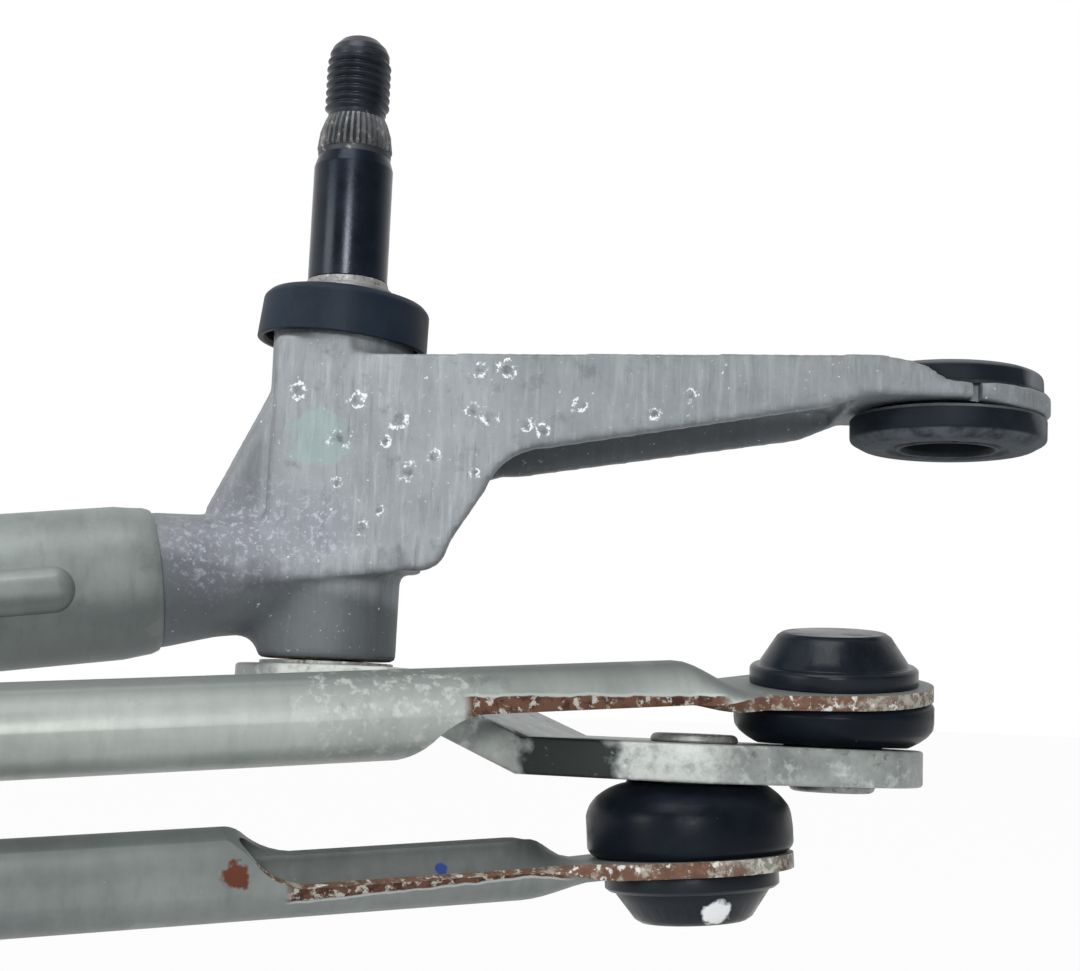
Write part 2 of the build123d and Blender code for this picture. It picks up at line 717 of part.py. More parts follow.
def shell_section(step, axis, tilt):
    """Curved strip across the rod, from half a tube at step 0 to the flat blade at step 1."""
    flat = eased(step)
    x = -SHELL_END + (SHELL_END - BLADE_START) * step
    wall = ROD_WALL + (BLADE_T - ROD_WALL) * flat
    half_tube = pi * (ROD_D - ROD_WALL) / 2
    width = half_tube + (BLADE_NECK - half_tube) * flat
    turn = radians(90 - 89 * flat)
    middle = width / (2 * turn)
    crown = (axis + ROD_D / 2) * (1 - flat) + BLADE_T / 2 * flat
    outer, inner = middle + wall / 2, middle - wall / 2
    across, up = sin(turn), cos(turn)
    outline = ThreePointArc((-outer * across, outer * up), (0, outer), (outer * across, outer * up))
    outline += Line((outer * across, outer * up), (inner * across, inner * up))
    outline += ThreePointArc((inner * across, inner * up), (0, inner), (-inner * across, inner * up))
    outline += Line((-inner * across, inner * up), (-outer * across, outer * up))
    face = Pos(0, crown - outer) * make_face(outline)
    lean = Pos(0, axis) * Rot(0, 0, tilt * (1 - flat)) * Pos(0, -axis)
    return Plane(origin=(x, 0, 0), x_dir=(0, 1, 0), z_dir=(1, 0, 0)) * (lean * face)


def scoop(axis, tilt):
    """Tool that takes the lever-side half off the tube, with a rounded run-out."""
    outer = ROD_D / 2
    start = -SHELL_START
    far = start - SCOOP_LENGTH
    low = axis - outer
    outline = Polyline((far, low - 3), (20, low - 3), (20, axis), (start + 3, axis))
    outline += ThreePointArc(
        (start + 3, axis), (start - 1.5, axis - 1.6), (start - 3.5, axis - 3.4)
    )
    outline += ThreePointArc((start - 3.5, axis - 3.4), (start - 6.6, low + 0.35), (far, low - 0.2))
    outline += Line((far, low - 0.2), (far, low - 3))
    return Pos(0, 0, axis) * Rot(tilt, 0, 0) * Pos(0, 0, -axis) * slab(outline, 3 * ROD_D)


def link_rod(length, right_axis, left_axis, left_up, tilt):
    """Rod from the right ball at the origin to the left ball at -length, closed side up.

    left_up says whether the closed side of the left end is up as well. Both axis values are
    the height of the tube's axis over the blade, measured towards that end's closed side.
    """
    axis = right_axis
    outer = ROD_D / 2
    tube_right, tube_left = -SHELL_END, -length + SHELL_END
    run = tube_right - tube_left
    tube = Cylinder(outer, run) - Cylinder(outer - ROD_WALL, run + 1)
    tube = Pos((tube_right + tube_left) / 2, 0, axis) * Rot(0, 90, 0) * tube
    right_hole = disc(SOCKET_BODY_D + 2 * SEAT, -5, 5)
    rod = tube - scoop(right_axis, tilt) + (rod_end(right_axis, tilt) - right_hole)
    turn = Rot(0, 0, 180) if left_up else Rot(0, 180, 0)
    place = Pos(-length, 0, 0) * turn
    rod = rod - place * scoop(left_axis, tilt)
    return rod + place * (rod_end(left_axis, tilt) - right_hole)


def rod_frame(x, y, z, rise, roll):
    """Place of a rod: its right ball, the rise towards the right and the roll about itself."""
    return Pos(x, y, z) * Rot(0, -rise, 0) * Rot(roll, 0, 0)


# Frame tube


def tube_route():
    """Corners of the frame tube's centre line, between the two spigots."""
    right, left = radians(RIGHT_SPIGOT_RISE), radians(LEFT_SPIGOT_RISE)
    start = SPIGOT_START
    right_end = (-start * cos(right), 0, SPIGOT_AXIS_Z - start * sin(right))
    left_end = (LEFT_X + start * cos(left), 0, LEFT_Z + SPIGOT_AXIS_Z - start * sin(left))
    straight = 84.0
    right_bend = (right_end[0] - straight * cos(right), 0, right_end[2] - straight * sin(right))
    left_bend = (left_end[0] + straight * cos(left), 0, left_end[2] - straight * sin(left))
    run = 62.0
    low = right_bend[2] - 5.0
    return [
        right_end,
        right_bend,
        (right_bend[0] - run, TUBE_SET_BACK, low),
        (left_bend[0] + run, TUBE_SET_BACK, low - 3.0),
        left_bend,
        left_end,
    ]


def frame_tube():
    """Bent steel tube, swaged at both ends and crimped on to the spigots."""
    path = FilletPolyline(*tube_route(), radius=TUBE_BEND_R)
    start = Plane(origin=path @ 0, z_dir=path % 0)
    outer = sweep(start * Circle(TUBE_OD / 2), path=path)
    inner = sweep(start * Circle(TUBE_OD / 2 - TUBE_WALL), path=path)
    tube = outer - inner
    crimps = crimp_tools(SPIGOT_START, TUBE_OD / 2 - CRIMP_DEPTH)
    swage = turned(
        (TUBE_OD / 2, SPIGOT_START + TUBE_SWAGE),
        (TUBE_OD / 2 - TUBE_SWAGE_DEPTH, SPIGOT_START + 1.0),
        (TUBE_OD / 2 - TUBE_SWAGE_DEPTH - 0.4, SPIGOT_START - 0.1),
        (TUBE_OD, SPIGOT_START - 0.1),
        (TUBE_OD, SPIGOT_START + TUBE_SWAGE),
    )
    tool = crimps + swage
    right = Pos(0, 0, SPIGOT_AXIS_Z) * Rot(0, -90 - RIGHT_SPIGOT_RISE, 0)
    left = Pos(LEFT_X, 0, LEFT_Z + SPIGOT_AXIS_Z) * Rot(0, 90 + LEFT_SPIGOT_RISE, 0)
    return tube - right * tool - left * tool


# Motor, gearbox, bracket and crank, drawn about the output shaft


def along_worm(solid, distance=0.0):
    """Turn a solid drawn up the Z axis so that it runs along the worm towards the motor."""
    return Pos(-distance, WORM_Y, WORM_Z) * Rot(0, -90, 0) * solid


def ring_of(radius, angles):
    """Points on a circle about the output shaft."""
    return [(radius * cos(radians(a)), radius * sin(radians(a))) for a in angles]


COVER_SCREW_PLACES = ring_of(COVER_SCREW_R, (40, 140, 220, 320))
BRACKET_SCREW_PLACES = ring_of(BRACKET_SCREW_R, (30, 150, 270))
CAN_SCREW_PLACES = [(17.0, 30.0), (-17.0, -30.0)]


def can_flange(low, high):
    """Round motor flange with two ears, drawn up the Z axis."""
    ears = [(x, y, 11.0) for x, y in CAN_SCREW_PLACES]
    return hull_plate([(0, 0, MOTOR_CAN_D + 5)] + ears, low, high)


def gear_housing():
    """Die-cast gear case: round well, worm tunnel, motor flange, screw bosses and shaft boss."""
    floor, top, wall = GEAR_CASE_FLOOR_Z, GEAR_CASE_TOP_Z, GEAR_CASE_WALL
    half_tunnel = WORM_D / 2 + 2 + wall
    body = disc(GEAR_CASE_D, floor, top)
    body += block(
        -MOTOR_START, WORM_LENGTH / 2 + 5, WORM_Y - half_tunnel, WORM_Y + half_tunnel, floor, top
    )
    body += along_worm(can_flange(-MOTOR_FLANGE_T, 0), MOTOR_START)
    body += disc(OUTPUT_BOSS_D, floor - OUTPUT_BOSS_H, floor)
    for x, y in COVER_SCREW_PLACES:
        body += disc(SCREW_HEAD_D + 1, floor + 8, top, x, y)
    body -= disc(GEAR_CASE_D - 2 * wall, floor + wall, top + 1)
    worm_way = disc(WORM_D + 4, 0, MOTOR_START + WORM_LENGTH / 2 + 2)
    body -= along_worm(worm_way, -WORM_LENGTH / 2 - 1)
    for x, y in COVER_SCREW_PLACES:
        body -= disc(SCREW_D + 2 * SEAT, top - 10, top + 1, x, y)
    for x, y in BRACKET_SCREW_PLACES:
        body -= disc(SCREW_D + 2 * SEAT, floor - 1, floor + wall - 0.5, x, y)
    for x, y in CAN_SCREW_PLACES:
        body -= along_worm(disc(SCREW_D + 2 * SEAT, -MOTOR_FLANGE_T - 1, 1, x, y), MOTOR_START)
    return body - disc(OUTPUT_BUSH_OD, floor - OUTPUT_BOSS_H - 1, floor + wall + 1)


def gear_cover():
    """Lid of the gear case with an ear at each screw and a raised rim."""
    low, high = GEAR_CASE_TOP_Z, GEAR_CASE_TOP_Z + COVER_T
    lid = disc(GEAR_CASE_D, low, high)
    lid = chamfer(lid.edges().group_by(Axis.Z)[-1], 0.8)
    for x, y in COVER_SCREW_PLACES:
        lid += disc(SCREW_HEAD_D + 1, low, high, x, y)
    for x, y in COVER_SCREW_PLACES:
        lid -= disc(SCREW_D + 0.4, low - 1, high + 1, x, y)
    lid += disc(GEAR_CASE_D - 2 * GEAR_CASE_WALL - 2 * RUNNING, low - 2, low)
    return lid - disc(GEAR_CASE_D - 2 * GEAR_CASE_WALL - 5, low - 3, low)


def screw(length):
    """Flanged screw, head up, seat at the origin, with a hexagon recess."""
    body = disc(SCREW_HEAD_D, 0, SCREW_HEAD_T) + disc(SCREW_D, -length, 0)
    body = chamfer(body.edges().group_by(Axis.Z)[-1], 0.5)
    return body - Pos(0, 0, SCREW_HEAD_T - 2.0) * extrude(RegularPolygon(2.4, 6), 3)


def cover_screws():
    """Four screws that hold the lid."""
    seat = GEAR_CASE_TOP_Z + COVER_T
    return Compound([Pos(x, y, seat) * screw(12.0) for x, y in COVER_SCREW_PLACES])


def bracket_screws():
    """Three screws through the bracket into the floor of the gear case."""
    places = BRACKET_SCREW_PLACES
    return Compound([Pos(x, y, BRACKET_Z) * Rot(180, 0, 0) * screw(5.4) for x, y in places])


def can_screws():
    """Two screws through the motor can's ears into the gear case."""
    seat = MOTOR_CAN_WALL
    return Compound([
        along_worm(Pos(x, y, seat) * screw(6.0), MOTOR_START) for x, y in CAN_SCREW_PLACES
    ])


def connector():
    """Plug housing on the lid, open towards the back, with a foot."""
    low = GEAR_CASE_TOP_Z + COVER_T
    half, wall = CONNECTOR_W / 2, CONNECTOR_WALL
    body = block(-half, half, -CONNECTOR_L / 2, CONNECTOR_L / 2, low, low + CONNECTOR_H)
    body = fillet(body.edges().filter_by(Axis.Y), 2.0)
    body += block(-half - 3, half + 3, -CONNECTOR_L / 2, 2, low, low + 2.0)
    back = CONNECTOR_L / 2
    body -= block(-half + wall, half - wall, back - 16, back + 1, low + wall, low + CONNECTOR_H - wall)
    for x in (-TERMINAL_PITCH, 0, TERMINAL_PITCH):
        half_w = TERMINAL_W / 2 + SEAT
        body -= block(
            x - half_w, x + half_w, back - 20, back - 15,
            low + CONNECTOR_H / 2 - TERMINAL_T / 2 - SEAT,
            low + CONNECTOR_H / 2 + TERMINAL_T / 2 + SEAT,
        )
    return body


def connector_terminals():
    """Three flat blades inside the plug housing."""
    middle = GEAR_CASE_TOP_Z + COVER_T + CONNECTOR_H / 2
    back = CONNECTOR_L / 2
    half_w, half_t = TERMINAL_W / 2, TERMINAL_T / 2
    return Compound([
        block(x - half_w, x + half_w, back - 20, back - 5, middle - half_t, middle + half_t)
        for x in (-TERMINAL_PITCH, 0, TERMINAL_PITCH)
    ])


def motor_can():
    """Deep-drawn motor can with a rim, two ears and a bearing nose at the closed end."""
    rim = can_flange(0, MOTOR_CAN_WALL)
    shell = disc(MOTOR_CAN_D, 0, MOTOR_CAN_LENGTH)
    shell = fillet(shell.edges().group_by(Axis.Z)[-1], 5.0)
    shell += disc(18.0, MOTOR_CAN_LENGTH, MOTOR_CAN_LENGTH + 5.0)
    shell = fillet(shell.edges().group_by(Axis.Z)[-1], 2.0)
    body = rim + shell
    body -= disc(CAN_BORE_D, -1, MOTOR_CAN_LENGTH - MOTOR_CAN_WALL - 3.0)
    body -= disc(ARMATURE_SHAFT_D + 2 * RUNNING, 0, MOTOR_CAN_LENGTH + 3.0)
    for x, y in CAN_SCREW_PLACES:
        body -= disc(SCREW_D + 0.4, -1, MOTOR_CAN_WALL + 1, x, y)
    return along_worm(body, MOTOR_START)


def magnets():
    """Two curved magnets inside the can."""
    outer, inner = CAN_BORE_D / 2 - SEAT, CAN_BORE_D / 2 - MAGNET_T
    start = MOTOR_CAN_LENGTH - MAGNET_LENGTH - 8
    ring = disc(2 * outer, start, start + MAGNET_LENGTH) - disc(2 * inner, 0, MOTOR_CAN_LENGTH)
    half = MAGNET_SPAN / 2
    far = 2 * MOTOR_CAN_D
    wedge = make_face(Polyline(
        (0, 0),
        (far * cos(radians(half)), -far * sin(radians(half))),
        (far, 0),
        (far * cos(radians(half)), far * sin(radians(half))),
        close=True,
    ))
    piece = ring & extrude(wedge, MOTOR_CAN_LENGTH)
    pair = [piece, Rot(0, 0, 180) * piece]
    return Compound([along_worm(magnet, MOTOR_START) for magnet in pair])


def armature():
    """Armature on its shaft, with the commutator and the worm at the gear end."""
    end = MOTOR_START + MOTOR_CAN_LENGTH + 2.0
    shaft = disc(ARMATURE_SHAFT_D, -WORM_LENGTH / 2, end)
    worm = disc(WORM_D, -WORM_LENGTH / 2, WORM_LENGTH / 2)
    stack_end = MOTOR_START + MOTOR_CAN_LENGTH - 10
    stack = disc(ARMATURE_D, stack_end - ARMATURE_LENGTH, stack_end)
    commutator_end = MOTOR_START + COMMUTATOR_LENGTH + 2
    commutator = disc(COMMUTATOR_D, commutator_end - COMMUTATOR_LENGTH, commutator_end)
    return along_worm(shaft + worm + stack + commutator)


def brush_holder():
    """Plastic plate in the mouth of the can with a box for each brush."""
    middle = 2.0 + COMMUTATOR_LENGTH / 2
    plate = disc(CAN_BORE_D - 2 * SEAT, 0, BRUSH_PLATE_T) - disc(COMMUTATOR_D + 3, -1, 20)
    for side in (1, -1):
        low, high = sorted((side * (COMMUTATOR_D / 2 + 2.5), side * (CAN_BORE_D / 2 - 3.0)))
        plate += block(-4, 4, low, high, 0, middle + 4)
        plate -= block(-2.5, 2.5, low - 1, high + 1, middle - 2.5, middle + 2.5)
    return along_worm(plate, MOTOR_START)


def brushes():
    """Two carbon brushes against the commutator."""
    middle = 2.0 + COMMUTATOR_LENGTH / 2
    reach = 2.5 - SEAT
    near, far = COMMUTATOR_D / 2 + RUNNING, CAN_BORE_D / 2 - 6.0
    upper = block(-reach, reach, near, far, middle - reach, middle + reach)
    lower = block(-reach, reach, -far, -near, middle - reach, middle + reach)
    return Compound([along_worm(brush, MOTOR_START) for brush in (upper, lower)])


def worm_wheel():
    """Plastic worm wheel pressed on the output shaft, dished on both faces."""
    low, high = WHEEL_Z, WHEEL_Z + WHEEL_T
    wheel = disc(WHEEL_D, low, high)
    for side_low, side_high in ((low - 1, low + 2), (high - 2, high + 1)):
        wheel -= disc(WHEEL_D - 12, side_low, side_high) - disc(18, side_low - 1, side_high + 1)
    return wheel - disc(OUTPUT_SHAFT_D + 2 * SEAT, low - 1, high + 1)


def output_shaft():
    """Output shaft: up through the wheel, down through the bush, stepped for the crank."""
    body = disc(OUTPUT_SHAFT_D, CRANK_TOP_Z, WHEEL_Z + WHEEL_T + 2)
    thread_end = CRANK_UNDER_Z - CRANK_NUT_T - 1.5
    tail = disc(CRANK_SHAFT_D, thread_end, CRANK_TOP_Z)
    return body + chamfer(tail.edges().group_by(Axis.Z)[0], 0.6)


def output_bush():
    """Flanged bush in the boss of the gear case."""
    low = GEAR_CASE_FLOOR_Z - OUTPUT_BOSS_H
    body = disc(OUTPUT_BUSH_OD - 2 * SEAT, low, low + OUTPUT_BUSH_LENGTH)
    body += disc(OUTPUT_BUSH_FLANGE_D, low - OUTPUT_BUSH_FLANGE_T, low)
    return body - disc(OUTPUT_SHAFT_D + 2 * RUNNING, low - 2, low + OUTPUT_BUSH_LENGTH + 1)


def crank_arm():
    """Flat crank arm between the output shaft and the ball of the short rod."""
    circles = [(0, 0, CRANK_HUB_D), (*OUTER_BALL, LEVER_END_D)]
    arm_plate = hull_plate(circles, CRANK_UNDER_Z, CRANK_TOP_Z)
    arm_plate -= disc(CRANK_SHAFT_D + 2 * SEAT, CRANK_UNDER_Z - 1, CRANK_TOP_Z + 1)
    return arm_plate - disc(TENON_D + 2 * SEAT, CRANK_UNDER_Z - 1, CRANK_TOP_Z + 1, *OUTER_BALL)


def crank_nut():
    """Hexagon nut under the crank arm."""
    low = CRANK_UNDER_Z - CRANK_NUT_T
    across_corners = CRANK_NUT_AF / cos(radians(30))
    nut = Pos(0, 0, low) * extrude(RegularPolygon(across_corners / 2, 6), CRANK_NUT_T)
    nut &= turned(
        (0, low), (CRANK_NUT_AF / 2 - 0.2, low), (CRANK_NUT_AF / 2 + 1.2, low + 0.9),
        (CRANK_NUT_AF / 2 + 1.2, CRANK_UNDER_Z), (0, CRANK_UNDER_Z),
    )
    return nut - disc(CRANK_SHAFT_D + 2 * SEAT, low - 1, CRANK_UNDER_Z + 1)


def motor_bracket():
    """Pressed bracket: plate under the gear case, a saddle over the tube, and its own eye."""
    circles = [(0, 0, BRACKET_ROOT_D), (0, BRACKET_EYE_REACH, EYE_OD)]
    plate = hull_plate(circles, BRACKET_Z, BRACKET_Z + BRACKET_T)
    plate -= disc(EYE_HOLE_D, BRACKET_Z - 1, BRACKET_Z + 5, 0, BRACKET_EYE_REACH)
    plate -= disc(OUTPUT_BOSS_D + 0.4, BRACKET_Z - 1, BRACKET_Z + 5)
    for x, y in BRACKET_SCREW_PLACES:
        plate -= disc(SCREW_D + 0.4, BRACKET_Z - 1, BRACKET_Z + 5, x, y)
    # the tube falls gently to the left where the saddle holds it
    corners = tube_route()
    right, left = corners[2], corners[3]
    slope = (right[2] - left[2]) / (right[0] - left[0])
    tube_z = right[2] + slope * (CRANK_X - right[0])
    inner, outer = TUBE_OD / 2 + SEAT, TUBE_OD / 2 + SADDLE_T
    half = BRACKET_SADDLE / 2
    cheeks = block(-half, half, -outer, outer, 0, BRACKET_Z - tube_z + 1.0)
    arch = cheeks - block(-half - 1, half + 1, -inner, inner, -1, 100)
    saddle = Rot(0, 90, 0) * Cylinder(outer, BRACKET_SADDLE)
    saddle &= block(-half, half, -outer, outer, 0, outer)
    saddle = (saddle + arch) - Rot(0, 90, 0) * Cylinder(inner, BRACKET_SADDLE + 2)
    saddle = Pos(0, TUBE_SET_BACK, tube_z) * Rot(0, -degrees(atan(slope)), 0) * saddle
    return plate + (saddle & block(-half - 2, half + 2, 20, 90, -60, BRACKET_Z + 1.0))


def bracket_grommet():
    """Grommet of the bracket's eye, the same as in the castings."""
    x, y = eye_centre(RIGHT_ARM)
    lift = BRACKET_Z - EYE_FLOOR
    return Pos(-x, BRACKET_EYE_REACH - y, lift) * grommet(RIGHT_ARM)


def build_frame():
    """Casting, tube, caps, bushes and grommets, right and left."""
    upper = BARREL_H - SEAL_H - BUSH_LENGTH
    sides = [("right", RIGHT_ARM, RIGHT_SPIGOT_RISE), ("left", LEFT_ARM, LEFT_SPIGOT_RISE)]
    for side, arm_length, rise in sides:
        pieces = {
            "pivot_housing": pivot_housing(arm_length, rise),
            "eye_grommet": grommet(arm_length),
            "cup_cap": cup_cap(),
            "seal_ring": seal_ring(),
            "upper_bush": bush(upper),
            "lower_bush": bush(0),
        }
        for name, solid in pieces.items():
            if side == "left":
                solid = Pos(LEFT_X, 0, LEFT_Z) * mirror(solid, Plane.YZ)
            write(solid, f"{side}_{name}")
    write(frame_tube(), "frame_tube")


def build_levers():
    """Spindles, levers, washers and ball studs."""
    left = Pos(LEFT_X, 0, LEFT_Z)
    for side, place in (("right", Pos(0, 0, 0)), ("left", left)):
        write(place * spindle(), f"{side}_spindle")
        write(place * retaining_ring(), f"{side}_retaining_ring")
        write(place * lower_washer(), f"{side}_thrust_washer")
    inner = Pos(*INNER_BALL, INNER_BALL_Z) * Rot(180, 0, 0) * ball_stud(INNER_REACH, LEVER_T)
    outer = Pos(*OUTER_BALL, OUTER_BALL_Z) * ball_stud(OUTER_REACH, LEVER_T)
    write(lever([INNER_BALL, OUTER_BALL]), "right_lever")
    write(outer, "right_upper_ball_stud")
    write(inner, "right_lower_ball_stud")
    write(left * lever([INNER_BALL]), "left_lever")
    write(left * inner, "left_ball_stud")


def fitted_boot(place, reach, lever_face, lever_above):
    """Boot on a rod's blade, cut level just clear of the lever it rests against."""
    body = place * boot(reach)
    centre = place.position
    half = BOOT_D
    if lever_above:
        top = lever_face - SOFT_GAP
        low = top - 4 * BOOT_D
    else:
        low = lever_face + SOFT_GAP
        top = low + 4 * BOOT_D
    x, y = centre.X, centre.Y
    return body & block(x - half, x + half, y - half, y + half, low, top)


def build_rods():
    """Two link rods, each with a socket and a boot at both ends."""
    flip = Rot(180, 0, 0)
    outer = rod_frame(*OUTER_BALL, OUTER_BALL_Z, OUTER_ROD_RISE, OUTER_ROD_ROLL)
    inner = rod_frame(*INNER_BALL, INNER_BALL_Z, INNER_ROD_RISE, -INNER_ROD_ROLL)
    outer_rod = link_rod(
        OUTER_ROD_LENGTH, OUTER_ROD_AXIS, -OUTER_ROD_AXIS, False, OUTER_ROD_TILT
    )
    inner_rod = link_rod(
        INNER_ROD_LENGTH, -INNER_ROD_AXIS, -INNER_ROD_AXIS, True, INNER_ROD_TILT
    )
    write(outer * outer_rod, "short_link_rod")
    write(inner * flip * inner_rod, "long_link_rod")
    left_lever_face = LEFT_Z + LEVER_UNDER_Z
    ends = [
        ("short_rod_right", outer, OUTER_REACH, LEVER_TOP_Z, False),
        ("short_rod_crank", outer * Pos(-OUTER_ROD_LENGTH, 0, 0) * flip, OUTER_REACH, CRANK_UNDER_Z, True),
        ("long_rod_right", inner * flip, INNER_REACH, LEVER_UNDER_Z, True),
        ("long_rod_left", inner * Pos(-INNER_ROD_LENGTH, 0, 0) * flip, INNER_REACH, left_lever_face, True),
    ]
    for name, place, reach, face, above in ends:
        write(place * socket(), f"{name}_socket")
        write(fitted_boot(place, reach, face, above), f"{name}_boot")


def build_motor():
    """Motor, gearbox, bracket and crank, carried to the output shaft's place."""
    pieces = {
        "gear_housing": gear_housing(),
        "gear_cover": gear_cover(),
        "cover_screws": cover_screws(),
        "connector": connector(),
        "connector_terminals": connector_terminals(),
        "motor_can": motor_can(),
        "can_screws": can_screws(),
        "magnets": magnets(),
        "brush_holder": brush_holder(),
        "brushes": brushes(),
        "armature": armature(),
        "worm_wheel": worm_wheel(),
        "output_shaft": output_shaft(),
        "output_bush": output_bush(),
        "crank_arm": crank_arm(),
        "crank_nut": crank_nut(),
        "crank_ball_stud": Pos(*OUTER_BALL, CRANK_BALL_Z) * Rot(180, 0, 0) * ball_stud(OUTER_REACH, CRANK_T),
        "motor_bracket": motor_bracket(),
        "bracket_screws": bracket_screws(),
        "bracket_grommet": bracket_grommet(),
    }
    for node, solid in pieces.items():
        write(Pos(CRANK_X, 0, 0) * solid, node)


os.makedirs("parts", exist_ok=True)
build_frame()
build_levers()
build_rods()
build_motor()
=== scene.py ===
# %% [markdown]
# # A windshield wiper motor with its linkage
# The CAD model is the frame: it gives every piece its place and every body its motion.
# Here the pieces get their finish, and those whose real shape is finer than the solids, such
# as threads, castings and pressed tube ends, are made again in their places.

# %% Load the frame
import bmesh
import bpy
import json
from math import cos, pi, radians, sin, sqrt, tan
from mathutils import Matrix, Vector
from mathutils.bvhtree import BVHTree


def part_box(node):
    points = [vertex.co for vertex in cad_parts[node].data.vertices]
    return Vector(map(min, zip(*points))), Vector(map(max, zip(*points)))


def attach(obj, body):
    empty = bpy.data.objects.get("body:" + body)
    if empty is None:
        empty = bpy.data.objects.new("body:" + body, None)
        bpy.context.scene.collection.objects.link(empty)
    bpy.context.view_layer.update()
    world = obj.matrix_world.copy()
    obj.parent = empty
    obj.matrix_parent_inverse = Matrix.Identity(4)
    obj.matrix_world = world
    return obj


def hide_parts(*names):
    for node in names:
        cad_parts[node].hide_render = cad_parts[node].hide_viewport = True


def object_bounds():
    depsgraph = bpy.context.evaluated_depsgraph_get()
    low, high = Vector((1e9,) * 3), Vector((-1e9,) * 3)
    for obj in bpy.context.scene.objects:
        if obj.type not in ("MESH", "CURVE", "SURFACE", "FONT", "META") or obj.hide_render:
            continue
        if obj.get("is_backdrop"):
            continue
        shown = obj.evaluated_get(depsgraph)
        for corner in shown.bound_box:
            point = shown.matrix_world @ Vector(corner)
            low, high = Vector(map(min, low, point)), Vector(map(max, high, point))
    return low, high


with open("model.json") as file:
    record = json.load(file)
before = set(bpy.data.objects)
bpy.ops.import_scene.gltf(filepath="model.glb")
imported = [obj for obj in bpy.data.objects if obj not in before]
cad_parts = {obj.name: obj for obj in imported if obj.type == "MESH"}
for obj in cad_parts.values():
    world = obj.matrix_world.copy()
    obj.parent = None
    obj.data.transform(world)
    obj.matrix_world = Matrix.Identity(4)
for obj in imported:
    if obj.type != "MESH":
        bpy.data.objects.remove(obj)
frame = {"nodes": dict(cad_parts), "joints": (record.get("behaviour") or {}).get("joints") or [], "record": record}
cad_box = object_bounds()
record = frame["record"]
body_of = {node: body for body, nodes in record["behaviour"]["bodies"].items() for node in nodes}
slot_of = {row["node"]: row["material_slot"] for row in record["subparts"]}
MM = 0.001
joints = {joint["name"]: joint for joint in frame["joints"]}
RIGHT_AXIS = Vector(joints["right_spindle_swing"]["pos_m"])
LEFT_AXIS = Vector(joints["left_spindle_swing"]["pos_m"])
CRANK_AXIS = Vector(joints["crank_swing"]["pos_m"])
OUTER_BALL = Vector(joints["short_rod_swing"]["pos_m"])
INNER_BALL = Vector(joints["long_rod_swing"]["pos_m"])
UP = (0.0, 0.0, 1.0)
DOWN = (0.0, 0.0, -1.0)


def beside(point, *offset):
    """Place at an offset in millimetres from a point."""
    return point + Vector(offset) * MM


def new_object(name, data):
    """Object of some data, linked to the scene."""
    thing = bpy.data.objects.new(name, data)
    bpy.context.scene.collection.objects.link(thing)
    return thing


# %% [markdown]
# ## The camera
# The photograph was taken from the front left and a little below, with the phone tipped by
# two degrees. The camera stands where lines through known sizes of the spindle, the tube and
# the eye meet the picture.

# %% Camera
CAMERA_PLACE = Vector((-57.70, -247.59, -5.54)) * MM
CAMERA_TURN = radians(20.0)
CAMERA_PITCH = radians(7.4)
CAMERA_ROLL = radians(2.3)
FOCAL_IN_PICTURE_WIDTHS = 1700 / 1080
SENSOR = 36.0


def camera_axes():
    """Right, up and forward of the camera, from its turn, pitch and roll."""
    forward = Vector((
        sin(CAMERA_TURN) * cos(CAMERA_PITCH),
        cos(CAMERA_TURN) * cos(CAMERA_PITCH),
        sin(CAMERA_PITCH),
    ))
    level = Vector((cos(CAMERA_TURN), -sin(CAMERA_TURN), 0.0))
    plumb = level.cross(forward)
    right = cos(CAMERA_ROLL) * level + sin(CAMERA_ROLL) * plumb
    up = -sin(CAMERA_ROLL) * level + cos(CAMERA_ROLL) * plumb
    return right, up, forward


camera_data = bpy.data.cameras.new("camera")
camera_data.sensor_width = SENSOR
camera_data.lens = SENSOR * FOCAL_IN_PICTURE_WIDTHS
camera_data.clip_start = 0.01
camera = new_object("camera", camera_data)
right, up, forward = camera_axes()
turn = Matrix((right, up, -forward)).transposed().to_4x4()
camera.matrix_world = Matrix.Translation(RIGHT_AXIS + CAMERA_PLACE) @ turn
bpy.context.scene.camera = camera
print("camera at", [round(c, 4) for c in camera.location])

# %% [markdown]
# ## Helpers
# A colour is written as the sRGB hex value that a screen shows, and one function turns it to
# the linear numbers that shaders use. Another adds a node with its settings and links, and
# three short forms of it give the nodes that come up most.

# %% Colours and nodes


def colour(code):
    """Linear RGBA of an sRGB hex colour such as 8A8D8F."""
    channels = [int(code[i:i + 2], 16) / 255 for i in (0, 2, 4)]
    linear = [c / 12.92 if c <= 0.04045 else ((c + 0.055) / 1.055) ** 2.4 for c in channels]
    return (*linear, 1.0)


def add(tree, kind, links=None, **settings):
    """Add a node: settings are its attributes, links its inputs as values or sockets."""
    node = tree.nodes.new(kind)
    for name, value in settings.items():
        setattr(node, name, value)
    for key, value in (links or {}).items():
        socket = node.inputs[key]
        if isinstance(value, bpy.types.NodeSocket):
            tree.links.new(value, socket)
        else:
            socket.default_value = value
    return node


def maths(tree, operation, *values):
    """Result of an operation on numbers or sockets."""
    return add(tree, "ShaderNodeMath", dict(enumerate(values)), operation=operation).outputs[0]


def ramp(tree, value, low, high, start=0.0, end=1.0):
    """Value brought to another range: start at the low level and end at the high one."""
    return add(tree, "ShaderNodeMapRange", {
        "Value": value, "From Min": low, "From Max": high, "To Min": start, "To Max": end,
    }).outputs[0]


def measure(tree, operation, vector, fixed):
    """Number that compares a vector with a fixed one, as a distance or a product."""
    return add(tree, "ShaderNodeVectorMath", {
        0: vector, 1: tuple(fixed),
    }, operation=operation).outputs["Value"]


